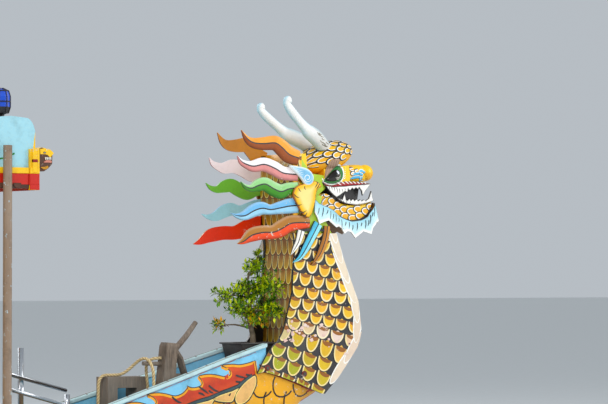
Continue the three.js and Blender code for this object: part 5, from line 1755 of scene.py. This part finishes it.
def planter_soil():
    """Dark soil with pale stones in the planter."""
    soil = Shape()
    rows = []
    for x in (BONSAI_FOOT[0] - SOIL_LENGTH + 2 * SOIL_LENGTH * i / 12 for i in range(13)):
        height = lambda j: SOIL_HIGH + 0.008 * math.sin(x * 57 + j * 2.3) - 0.004 * (j in (0, 8))
        upper = [(x, -SOIL_WIDTH + 2 * SOIL_WIDTH * j / 8, height(j)) for j in range(9)]
        rows.append(upper + [(x, SOIL_WIDTH, SOIL_LOW), (x, -SOIL_WIDTH, SOIL_LOW)])
    soil.loft(rows, [rgb("4a3a2b")] * 13)
    for _ in range(60):
        spot = Vector((BONSAI_FOOT[0] + random.uniform(-0.17, 0.17), random.uniform(-0.125, 0.125), 1.358))
        r = random.uniform(0.006, 0.011)
        stone = [[spot + Vector((r * c * w, r * s * w, r * h)) for c, s in circle(0, 0, 1, 6)]
                 for w, h in ((0.7, -0.5), (1, 0.1), (0.6, 0.6))]
        soil.loft(stone, [blend(rgb("8d8375"), rgb("c3b9a6"), random.random())] * 3)
    make(soil, "planter_soil", "planter_clay")


# The roof's edge

EAVE_GOLD, EAVE_RED, TILE_DARK = rgb("f4c22b"), rgb("c3291f"), rgb("43281d")
# x of the trim's two ends on the side boards, and of the corner block in front of it
TRIM_AFT, TRIM_FORE, BLOCK_AFT, BLOCK_FORE = -4.33, 2.034, 2.041, 2.123


def vine(shape, place, start, end, level, flip):
    """A stem in slow waves with paired leaves and small round flowers."""
    span, waves = end - start, max(1, round(abs(end - start) / 0.62))
    count = waves * 12
    stem = [(start + span * k / count, level + 0.045 * math.sin(2 * math.pi * waves * k / count))
            for k in range(count + 1)]
    shape.stroke(stem, place, 0.011, rgb("2f7d3a"), -0.002, 0.0035)
    for k in range(2, count - 1, 3):
        (u, v), (u1, v1) = stem[k], stem[k + 1]
        angle = math.atan2(v1 - v, u1 - u)
        for way in (1, -1):
            turn = angle + way * 0.95
            tip = (u + 0.075 * math.cos(turn), v + 0.075 * math.sin(turn))
            bend = ((u + tip[0]) / 2 - 0.012 * math.sin(turn), (v + tip[1]) / 2 + 0.012 * math.cos(turn))
            green = rgb("4e9c3c") if way > 0 else rgb("86b53c")
            brush(shape, [(u, v), bend, tip], place, 0.030, green, 0.0042, -0.002, ends=(0.2, 0.05))
        if k % 6 == 2:
            spot = (u, v + 0.050 * (1 if (k // 6) % 2 else -1) * flip)
            for c, s in circle(0, 0, 1, 5):
                line = [(spot[0] + r * c, spot[1] + r * s) for r in (0.004, 0.014, 0.025)]
                shape.stroke(line, place, [0.008, 0.017, 0.009], rgb("d8452f"), -0.002, 0.0048)
            shape.slab(circle(*spot, 0.009, 8), place, 0.0, 0.0062, rgb("f6cf3c"))


def eave(name, side):
    """Strips, tile ends, the corner block and two end posts along one side of the roof."""
    shape, place, block = Shape(), on_side(side, 1.0040), on_side(side, 1.0120)
    for low, high, paint, proud in ((2.744, 2.789, EAVE_GOLD, 0.010), (2.660, 2.744, EAVE_RED, 0.007)):
        for aft, fore, ground in ((TRIM_AFT, TRIM_FORE, place), (BLOCK_AFT, BLOCK_FORE, block)):
            shape.slab(rectangle(aft, low, fore, high), ground, -0.004, proud, paint, None, 0.003)
    shape.slab(rectangle(BLOCK_AFT, 2.622, BLOCK_FORE, 2.662), block, -0.004, 0.005, EAVE_RED)
    shape.slab(rectangle(2.035, 2.660, BLOCK_AFT, 2.744), block, -0.020, 0.006, EAVE_RED)
    shape.slab(rectangle(TRIM_AFT, 2.630, TRIM_FORE, 2.664), place, -0.004, 0.005, TILE_DARK)
    for u in (TRIM_AFT + 0.0375 + 0.075 * k for k in range(86)):
        if u + 0.036 > TRIM_FORE:
            break
        tile = [(u + 0.035 * c, 2.672 - 0.040 * s) for c, s in half_turn(8)]
        tone = blend(TILE_DARK, rgb("6d4430"), random.random() * 0.6)
        shape.slab(tile, place, -0.030, 0.012, tone, None, 0.003)
    for u, ground in ((2.060, block), (-4.328, place)):
        shape.slab(rectangle(u, 2.75, u + 0.042, 2.935), ground, -0.002, 0.014, EAVE_GOLD, None, 0.004)
        shape.slab(rectangle(u, 2.83, u + 0.042, 2.852), ground, 0.0, 0.0165, rgb("8c1f1a"), None, 0.002)
    small_head(shape, on_side(side, 0.9600))
    make(shape, f"eave_{name}", "fascia_paint")


def small_head(shape, place):
    """Brow, jaws, teeth and eye of the little carved head beyond the front board, a white dot on the eye as painted
    highlight.
    """
    brush(shape, [(2.262, 2.888), (2.225, 2.915), (2.160, 2.915)], place, 0.046, EAVE_GOLD, 0.004, -0.004,
          ends=(0.9, 0.9))
    brush(shape, [(2.258, 2.838), (2.222, 2.842), (2.190, 2.834)], place, 0.018, rgb("c8897c"), 0.006, -0.002)
    brush(shape, [(2.228, 2.802), (2.200, 2.790), (2.165, 2.796)], place, 0.020, rgb("b98420"), 0.005, -0.002)
    for u in (2.250, 2.235, 2.220, 2.206):
        shape.stroke([(u, 2.872), (u + 0.001, 2.852)], place, [0.009, 0.002], WHITE, -0.001, 0.0065)
    brush(shape, [(2.186, 2.905), (2.198, 2.909), (2.210, 2.904)], place, 0.013, INK, 0.0060, -0.002)
    # Painted highlight: a white dot on the eye
    brush(shape, [(2.196, 2.908), (2.201, 2.909)], place, 0.006, WHITE, 0.0080, -0.001)


def roof_edge():
    """Trim and painted vines on the boards round the roof."""
    for name, side in SIDES.items():
        eave(name, side)
        art = Shape()
        vine(art, surface(f"fascia_{name}", (0, side, 0)), -4.18, 1.92, 2.895, side)
        make(art, f"vine_{name}", "fascia_paint")
    for end, outward, half in (("front", 1, 0.80), ("back", -1, 0.99)):
        shape, over = Shape(), surface(f"fascia_{end}", (outward, 0, 0))
        for low, high, paint, proud in ((2.744, 2.789, EAVE_GOLD, 0.009), (2.667, 2.744, EAVE_RED, 0.006)):
            shape.slab(rectangle(-half, low, half, high), over, -0.002, proud, paint, None, 0.003)
        vine(shape, over, -0.60, 0.60, 2.915, 1)
        make(shape, f"eave_{end}", "fascia_paint")


# Ribs on the roof's sheets: x of the first and from one to the next
RIB_START, RIB_PITCH = -4.26, 0.15
# Hoops of a lamp's cage and its bars from the foot up: radius, height from the lamp's top
HOOPS = ((0.064, -0.187), (0.0775, -0.102), (0.064, -0.020))
BARS = ((0.064, -0.187), (0.0775, -0.142), (0.0775, -0.062), (0.064, -0.020), (0.020, 0.001))


def lamps_and_roof():
    """The cage of each roof lamp, and ribs on the roof's sheets."""
    for name in SIDES:
        shape = Shape()
        low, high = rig.box(f"lamp_{name}")
        x, y, top = (low.x + high.x) / 2, (low.y + high.y) / 2, high.z
        for r, z in HOOPS:
            hoop = [(u, v, top + z) for u, v in circle(x, y, r, 20)]
            shape.tube(hoop + hoop[:1], 0.0045, INK, 6)
        for a in (2 * math.pi * k / 8 + 0.2 for k in range(8)):
            bar = [(x + r * math.cos(a), y + r * math.sin(a), top + z) for r, z in BARS]
            shape.tube(bar, 0.0035, rgb("2c2622"), 5)
        make(shape, f"lamp_cage_{name}", "lamp_frame")
    shape, over = Shape(), surface("roof", (0, 0, 1))
    for k in range(43):
        across = [(RIB_START + RIB_PITCH * k, -0.955 + 0.0796 * j) for j in range(25)]
        shape.stroke(across, over, 0.032, rgb("8a3526"), -0.003, 0.012)
    make(shape, "roof_ribs", "roof_sheet")


# The cabin's wall, its windows' middles, half width, lower and upper edge, and the middle of the panels below
WALL_SIDE = 0.939
WINDOWS = [-3.55 + 1.05 * k for k in range(5)]
WINDOW_HALF, WINDOW_LOW, WINDOW_HIGH = 0.39, 1.36, 2.29
PANEL_MIDDLE = 0.99


def window_trim(name, side):
    """Window frames with sills, panels with a flower under them, and the wall's three rails."""
    green, red, gold = rgb("2f7d5b"), rgb("b02c20"), rgb("f0b93a")
    shape, place = Shape(), on_side(side, WALL_SIDE)
    low, high, rim = WINDOW_LOW, WINDOW_HIGH, 0.045
    for x in WINDOWS:
        a, b = x - WINDOW_HALF, x + WINDOW_HALF
        for corners in ((a - rim, low - 0.05, b + rim, low), (a - rim, high, b + rim, high + rim),
                        (a - rim, low, a, high), (b, low, b + rim, high)):
            shape.slab(rectangle(*corners), place, -0.003, 0.016, red, None, 0.004)
        sill = rectangle(a - 0.07, low - 0.075, b + 0.07, low - 0.048)
        shape.slab(sill, place, -0.003, 0.034, gold, None, 0.005)
        field = rectangle(a, 0.78, b, 1.20)
        shape.slab(field, place, -0.003, 0.010, green, None, 0.006)
        shape.slab(inset(field, 0.05), place, 0.0, 0.015, rgb("e7d39a"), None, 0.006)
        for petal, (c, s) in enumerate(circle(0, 0, 1, 8)):
            line = [(x + r * c, PANEL_MIDDLE + r * s) for r in (0.02, 0.07, 0.13)]
            shape.stroke(line, place, [0.012, 0.045, 0.006], red if petal % 2 else gold, 0.010, 0.018)
        shape.slab(circle(x, PANEL_MIDDLE, 0.028, 12), place, 0.010, 0.021, gold, None, 0.004)
    for low, high, paint in ((0.665, 0.735, red), (2.44, 2.50, red), (2.50, 2.535, gold)):
        shape.slab(rectangle(-4.095, low, 1.195, high), place, -0.003, 0.012, paint, None, 0.004)
    make(shape, f"window_trim_{name}", "trim_paint")


def door_trim():
    """Four raised panels and a pull on the cabin's door."""
    shape, front = Shape(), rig.box("cabin_door")[1].x
    place = lambda u, v, h=0.0: (front + h, u, v)
    for low, high in ((0.80, 1.28), (1.40, 2.30)):
        for a, b in ((-0.30, -0.03), (0.03, 0.30)):
            field = rectangle(a, low, b, high)
            shape.slab(field, place, -0.002, 0.006, rgb("7c3f1d"), None, 0.005)
            shape.slab(inset(field, 0.035), place, 0.0, 0.013, rgb("a8622f"), None, 0.010)
    pull = ((0.002, 1.32), (0.035, 1.32), (0.040, 1.36), (0.035, 1.40), (0.002, 1.40))
    shape.tube([(front + out, -0.315, z) for out, z in pull], 0.008, rgb("c9a24a"), 8)
    make(shape, "door_panels", "door_wood", "door_panel_paint", "door")


def stern_carving():
    """A red and a dark line along the stern's carved tail."""
    for name, side in SIDES.items():
        outline = flat_outline("tail", side)[0]
        shape, place = Shape(), surface("tail", (0, side, 0))
        loop = drawn_in(outline, 0.012, 0.009)
        shape.stroke(loop + loop[:1], place, 0.010, rgb("c8341f"), -0.002, 0.002)
        shape.stroke(drawn_in(outline, 0.026, 0.022), place, 0.006, INK, -0.002, 0.0028)
        make(shape, f"tail_lines_{name}", "scale_paint")


def roof_dragon_tone(spot, normal):
    """The front board: pale blue, its strips, and the small carved heads beyond it."""
    if spot.x > 2.127:
        return rgb("f4c22b") if spot.z > 2.925 or normal.z > 0.5 else rgb("4a2c1e")
    if spot.x > 2.0 and abs(spot.y) > 0.93 and spot.z < 2.94:
        return rgb("f4c22b")
    if spot.z < 2.735:
        return RED
    return PALE_BLUE if spot.z > 2.789 else GOLD


# The mooring rope: out of the post, over its peg, across the crate and into a coil on the deck

ROPE_DIAMETER = 0.026
ROPE_LAY = 0.085  # length in which the strands turn once
ROPE_STEP, PATH_STEP = 0.006, 0.018  # spacing of the points that are drawn, and of the path passed on
KNOT_SIZE = 0.0078
ROPE_ROUTE = [
    (3.762, -0.145, 1.302), (3.744, -0.145, 1.302), (3.722, -0.142, 1.301), (3.701, -0.133, 1.298),
    (3.683, -0.120, 1.291), (3.670, -0.100, 1.277), (3.664, -0.081, 1.249), (3.667, -0.070, 1.205),
    (3.676, -0.067, 1.140), (3.684, -0.067, 1.065), (3.686, -0.069, 1.003), (3.680, -0.094, 0.949),
    (3.668, -0.145, 0.927), (3.655, -0.196, 0.949), (3.647, -0.221, 1.003), (3.644, -0.223, 1.080),
    (3.643, -0.222, 1.150), (3.641, -0.216, 1.205), (3.636, -0.198, 1.250), (3.627, -0.166, 1.288),
    (3.613, -0.130, 1.300), (3.594, -0.094, 1.289), (3.568, -0.060, 1.258), (3.538, -0.026, 1.218),
    (3.506, 0.002, 1.186), (3.470, 0.020, 1.169), (3.430, 0.030, 1.166), (3.388, 0.035, 1.166),
    (3.350, 0.037, 1.166), (3.318, 0.037, 1.159), (3.294, 0.037, 1.138), (3.283, 0.037, 1.102),
    (3.279, 0.038, 0.980), (3.274, 0.041, 0.770), (3.252, 0.047, 0.677), (3.210, 0.060, 0.630),
    (3.155, 0.077, 0.616), (3.095, 0.097, 0.615), (3.030, 0.118, 0.615), (2.964, 0.142, 0.615),
]
COIL = (2.900, -0.040)
# The coil's winding, in two columns and three layers: degrees from its start, radius, height
COIL_TURNS = [
    (0, 0.1928, 0.615), (60, 0.1650, 0.6150), (330, 0.1645, 0.6150), (400, 0.1345, 0.6150),
    (660, 0.1345, 0.6150), (720, 0.1345, 0.6415), (960, 0.1345, 0.6415), (1020, 0.1645, 0.6415),
    (1260, 0.1645, 0.6415), (1320, 0.1645, 0.6675), (1560, 0.1645, 0.6675), (1620, 0.1345, 0.6675),
    (1830, 0.1345, 0.6675), (1895, 0.1000, 0.6620), (1960, 0.0680, 0.6300),
]


def even_curve(points, count):
    """A smooth line whose bends don't overshoot where the points are close together."""
    points = [Vector(p) for p in points]
    points = [2 * points[0] - points[1]] + points + [2 * points[-1] - points[-2]]
    line = []
    for k in range(1, len(points) - 2):
        p = points[k - 1:k + 3]
        t = [0.0]
        for a, b in zip(p, p[1:]):
            t.append(t[-1] + max(1e-6, (b - a).length) ** 0.5)
        for j in range(count):
            now = t[1] + (t[2] - t[1]) * j / count
            legs = [p[i].lerp(p[i + 1], (now - t[i]) / (t[i + 1] - t[i])) for i in range(3)]
            early = legs[0].lerp(legs[1], (now - t[0]) / (t[2] - t[0]))
            late = legs[1].lerp(legs[2], (now - t[1]) / (t[3] - t[1]))
            line.append(early.lerp(late, (now - t[1]) / (t[2] - t[1])))
    return line + [points[-2]]


def coil_line():
    """The coil's points: each stretch of the winding eases from one radius and height to the next."""
    line = []
    for (a0, r0, z0), (a1, r1, z1) in zip(COIL_TURNS, COIL_TURNS[1:]):
        count = max(1, round((a1 - a0) / 10))
        for share in (j / count for j in range(count)):
            ease = share * share * (3 - 2 * share)
            angle = math.radians(70.6 + a0 + (a1 - a0) * share)
            r = r0 + (r1 - r0) * ease
            line.append(Vector((COIL[0] + r * math.cos(angle), COIL[1] + r * math.sin(angle),
                                z0 + (z1 - z0) * ease)))
    return line


def laid_rope(shape, line, radius, lay):
    """Three twisted strands along a line, one turn in each lay's length, with round ends."""
    # Painted shade in the grooves between the strands, painted highlight on their crests
    groove_shade, crest = rgb("8d7553"), rgb("e6d2a8")
    up = Vector((0, 0, 1)) if abs((line[1] - line[0]).normalized().z) < 0.9 else Vector((0, 1, 0))
    rings, paints, gone = [], [], 0.0
    for k, spot in enumerate(line):
        if k:
            gone += (spot - line[k - 1]).length
        before, after = beside(line, k)
        along = (after - before).normalized()
        up = (up - along * up.dot(along)).normalized()
        across = along.cross(up)
        worn = random.uniform(-0.06, 0.06)
        ring, paint = [], []
        for j in range(18):
            angle = 2 * math.pi * j / 18
            lobe = abs(math.cos(1.5 * (angle + 2 * math.pi * gone / lay)))
            r = radius * (0.82 + 0.18 * lobe ** 0.7)
            ring.append(spot + (across * math.cos(angle) + up * math.sin(angle)) * r)
            paint.append(blend(groove_shade, crest, min(1, max(0, lobe * 1.1 - 0.1 + worn))))
        rings.append(ring)
        paints.append(paint)
    for first, second, at in ((0, 1, 0), (-1, -2, len(rings) + 1)):
        out = (line[first] - line[second]).normalized() * radius * 0.5
        tip = [line[first] + (p - line[first]) * 0.55 + out for p in rings[first]]
        rings.insert(at, tip)
        paints.insert(at, paints[first])
    shape.loft(rings, paints)


def evenly(line, step):
    """The same line with its points at one spacing."""
    result, left = [line[0]], step
    for a, b in zip(line, line[1:]):
        span = (b - a).length
        while left <= span:
            result.append(a.lerp(b, left / span))
            left += step
        left -= span
    return result + [line[-1]]


def rope():
    """One cord from the post's hole to the stopper knot on its end."""
    line = evenly(even_curve(ROPE_ROUTE, 8) + coil_line(), ROPE_STEP)
    length = sum((b - a).length for a, b in zip(line, line[1:]))
    shape = Shape()
    laid_rope(shape, line, ROPE_DIAMETER / 2, ROPE_LAY)
    cord = make(shape, "mooring_rope", "rope_fibre", replaces=["rope", "rope_coil"], crease=60)
    knot = Shape()
    end, along = line[-1], (line[-1] - line[-2]).normalized()
    side = along.cross(Vector((0, 0, 1))).normalized()
    turns = [end + along * (0.020 + KNOT_SIZE * (math.sin(t) + 2 * math.sin(2 * t)))
             + side * KNOT_SIZE * (math.cos(t) - 2 * math.cos(2 * t))
             + Vector((0, 0, -0.014 * math.sin(3 * t)))
             for t in (2 * math.pi * j / 60 for j in range(60))]
    laid_rope(knot, turns, ROPE_DIAMETER / 2, ROPE_LAY)
    stopper = make(knot, "rope_knot", "rope_fibre", crease=60)
    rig.cord(cord, exit=ROPE_ROUTE[0], length=length, diameter=ROPE_DIAMETER, far_end="knot",
            stiffness="limp", lay="loose", path=evenly(line, PATH_STEP), with_pieces=(stopper,))


# Soft studio lights: watts, size, place and what each is aimed at
LAMPS = [
    ("key", 2900, 9, (-9, -16, 15), (1.5, 0, 1.2)),
    ("fill", 1150, 9, (16, -9, 8), (3, 0, 1.5)),
    ("back", 1300, 9, (2, 17, 12), (1, 0, 1.5)),
]
FLOOR_HALF = 160


def stage_and_light():
    shape = Shape()
    square = rectangle(-FLOOR_HALF, -FLOOR_HALF, FLOOR_HALF, FLOOR_HALF)
    rings = [[(x, y, z) for x, y in square] for z in (-0.02, 0.0)]
    shape.loft(rings, [rgb("d9dcdd")] * 2)
    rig.stage(built(shape, "floor", oil_paint("floor_finish", rgb("dfe2e3"), 0.6, 0.0, 0.04), 38))
    world = bpy.data.worlds.new("studio")
    world.use_nodes = True
    world.node_tree.nodes["Background"].inputs["Color"].default_value = (0.86, 0.93, 1.0, 1)
    world.node_tree.nodes["Background"].inputs["Strength"].default_value = 0.55
    bpy.context.scene.world = world
    for name, energy, size, place, aim in LAMPS:
        data = bpy.data.lights.new(name, "AREA")
        data.energy, data.size = energy, size
        lamp = bpy.data.objects.new(name, data)
        lamp.location = place
        lamp.rotation_euler = (Vector(aim) - Vector(place)).to_track_quat("-Z", "Y").to_euler()
        bpy.context.scene.collection.objects.link(lamp)


# Painted finishes: gloss, chips, dirt, then how the brush strokes stretch and what shows under the chips
LENGTHWAYS = (0.25, 1, 1)
PAINTED = {
    "hull_paint": (0.45, 0.5, 0.45, LENGTHWAYS),
    "bulwark_paint": (0.45, 0.5, 0.35, LENGTHWAYS),
    "rail_paint": (0.5, 0.7, 0.4, LENGTHWAYS),
    "cabin_paint": (0.4, 0.2, 0.3, (1, 1, 0.25)),
    "trim_paint": (0.38, 0.2, 0.25),
    "roof_sheet": (0.5, 0.5, 0.5, (1, 1, 1), rgb("8b5a3c")),
    "fascia_paint": (0.45, 0.35, 0.35),
    "post_steel": (0.5, 1.4, 0.6, (1, 1, 0.2), rgb("b3c6cc")),
    "lamp_frame": (0.35, 0.2, 0.2),
    "lamp_glass": (0.2, 0.0, 0.1),
    "scale_paint": (0.4, 0.35, 0.22),
    "belly_paint": (0.42, 0.35, 0.25),
    "head_paint": (0.38, 0.3, 0.2),
    "jaw_paint": (0.36, 0.2, 0.15),
    "tooth_paint": (0.35, 0.1, 0.1),
    "eye_gloss": (0.16, 0.0, 0.0),
    "mane_upper_paint": (0.38, 0.3, 0.2),
    "mane_lower_paint": (0.38, 0.5, 0.2),
    "ear_paint": (0.38, 0.2, 0.15),
    "tuft_paint": (0.4, 0.25, 0.25),
    "horn_paint": (0.35, 0.2, 0.15),
    "beard_paint": (0.38, 0.2, 0.2),
    "rudder_paint": (0.5, 0.5, 0.5),
    "cover_wood": (0.45, 0.4, 0.4, LENGTHWAYS),
    "planter_clay": (0.45, 0.15, 0.5),
    "plant": (0.4, 0.0, 0.15),
    "rope_fibre": (0.85, 0.0, 0.5),
    "wheel_plastic": (0.4, 0.1, 0.2),
    "weathered_paint": (0.65, 0.3, 0.6, (8, 0.6, 8)),
    "door_panel_paint": (0.3, 0.1, 0.3, (6, 6, 0.5)),
    "bark": (0.75, 0.0, 0.5, (1, 1, 0.3)),
}
# Bare wood: its light and dark tone, the stretch of the grain, weathering and gloss
WOODEN = {
    "deck_wood": (rgb("9c8061"), rgb("5d4632"), (1, 12, 12), 0.5, 0.7),
    "door_wood": (rgb("a2592b"), rgb("5e2c14"), (12, 12, 1), 0.1, 0.4),
    "bench_wood": (rgb("b0783f"), rgb("6f4220"), (1, 12, 12), 0.15, 0.45),
    "weathered_wood": (rgb("8d7a68"), rgb("4c3d31"), (9, 9, 1), 0.7, 0.8),
}


def all_finishes():
    """Every finish by its name."""
    made = {name: oil_paint(name, None, *how) for name, how in PAINTED.items()}
    made.update({name: timber(name, *how) for name, how in WOODEN.items()})
    made["shaft_steel"] = metal("shaft_steel", rgb("b9bcc0"), 0.3, rgb("7a4326"), 0.3)
    made["propeller_bronze"] = metal("propeller_bronze", rgb("b98a3e"), 0.32, rgb("4f7a63"), 0.35)
    made["engine_iron"] = metal("engine_iron", rgb("5d6a63"), 0.5, rgb("5b3422"), 0.4, metallic=0.6)
    made["stainless"] = metal("stainless", rgb("c9cdd2"), 0.2)
    return made


def by_height(*bands):
    """A paint that changes with height: pairs of a lower limit and a paint, from the top down."""
    return lambda spot, normal: next(paint for low, paint in bands if spot.z >= low)


WALL = ("cabin_paint", rgb("f1d9a0"), 0.004)
ROOF_BOARD = ("fascia_paint", by_height((2.789, PALE_BLUE), (2.735, GOLD), (-9, RED)), 0.003)
ENGINE_COVER = ("cover_wood", rgb("4f7f9a"), 0.005)
# Frame nodes that stay in view, a star for port and starboard: slot, paint, and the bevel of their edges
DRESSED = {
    "hull": ("hull_paint", by_height((0.0, rgb("a23a28")), (-9, rgb("6b2b22"))), 0.004),
    "bulwark_*": ("bulwark_paint", SKY, 0.003),
    "cap_rail_*": ("rail_paint", rgb("bcd8dc"), 0.008),
    "stern_bulwark": ("bulwark_paint", SKY, 0.006),
    "cabin_deck": ("deck_wood", WHITE, 0.004),
    "cabin_wall_*": WALL,
    "cabin_front": WALL,
    "cabin_back": WALL,
    "cabin_door": ("door_wood", WHITE, 0.004),
    "benches": ("bench_wood", WHITE, 0.006),
    "roof": ("roof_sheet", rgb("9c3a2a"), 0.004),
    "fascia_front": ("fascia_paint", roof_dragon_tone, 0.003),
    "fascia_back": ROOF_BOARD,
    "fascia_*": ROOF_BOARD,
    "post_*": ("post_steel", rgb("8b7868"), 0.002),
    "lamp_*": ("lamp_frame", by_height((3.38, INK), (3.25, rgb("1f4fc4")), (-9, INK)), 0.002),
    "head": ("head_paint", head_tone, 0.004),
    "skull": ("head_paint", GOLD, 0),
    "upper_jaw": ("jaw_paint", GOLD, 0),
    "lower_jaw": ("jaw_paint", GOLD, 0),
    "eye_*": ("eye_gloss", INK, 0),
    "ear_*": ("ear_paint", GOLD, 0.003),
    "horn_*": ("horn_paint", WHITE, 0),
    "beard": ("beard_paint", PALE_BLUE, 0),
    "tuft_*": ("tuft_paint", SKY, 0.003),
    "mane_upper_*": ("mane_upper_paint", GOLD, 0.004),
    "mane_lower_*": ("mane_lower_paint", SKY, 0.004),
    "mooring_post": ("weathered_wood", WHITE, 0.006),
    "crate": ("weathered_wood", WHITE, 0.003),
    "crutch": ("weathered_wood", WHITE, 0.003),
    "boarding_rail": ("stainless", WHITE, 0),
    "planter": ("planter_clay", rgb("2b2524"), 0.004),
    "helm_console": ("cover_wood", rgb("a23a28"), 0.006),
    "helm_wheel": ("wheel_plastic", rgb("26282b"), 0),
    "tail": ("scale_paint", GOLD, 0.004),
    "engine_box": ENGINE_COVER,
    "engine_lid": ENGINE_COVER,
    "engine": ("engine_iron", WHITE, 0.006),
    "shaft": ("shaft_steel", WHITE, 0),
    "propeller": ("propeller_bronze", WHITE, 0.002),
    "rudder": ("rudder_paint", rgb("6b2b22"), 0.004),
}


def dress(node, slot, paint, bevel):
    """Gives a frame node its finish, its paint, soft shading and eased edges."""
    piece = NODES[node]
    mesh = piece.data
    mesh.materials.clear()
    mesh.materials.append(FINISH[slot])
    colours = mesh.color_attributes.new("paint", "FLOAT_COLOR", "CORNER")
    for face in mesh.polygons:
        colour = paint(face.center, face.normal) if callable(paint) else paint
        for k in face.loop_indices:
            colours.data[k].color = (*colour, 1)
    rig.slot(piece, slot)
    piece.modifiers.new("weld", "WELD").merge_threshold = 0.00002
    if bevel:
        eased = piece.modifiers.new("bevel", "BEVEL")
        eased.width = bevel
        eased.segments = 2
        eased.limit_method = "ANGLE"
        eased.angle_limit = math.radians(40)
        eased.harden_normals = False
    else:
        mesh.polygons.foreach_set("use_smooth", [True] * len(mesh.polygons))


make_camera()
random.seed(11)
bpy.context.scene.view_settings.view_transform = "Standard"
FINISH = all_finishes()
rope()
for pattern, how in DRESSED.items():
    for node in sorted({pattern.replace("*", name) for name in SIDES}):
        dress(node, *how)
for name, side in SIDES.items():
    neck_side(name, side)
neck_boards()
manes()
ears()
tufts()
skull()
snout()
for name, side in SIDES.items():
    eye_surround(name, side)
    eyeball(name, side)
    teeth(name, side)
lower_jaw()
beard()
horns()
head_block()
for name, side in SIDES.items():
    bow_paintings(name, side)
    rail_fittings(name, side)
foredeck()
bonsai()
planter_soil()
roof_edge()
lamps_and_roof()
for name, side in SIDES.items():
    window_trim(name, side)
door_trim()
stern_carving()
stage_and_light()

with open("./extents.json", "w") as sizes:
    json.dump({"cad": [list(c) for c in CAD_BOX], "visual": [list(c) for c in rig.bounds()]}, sizes)
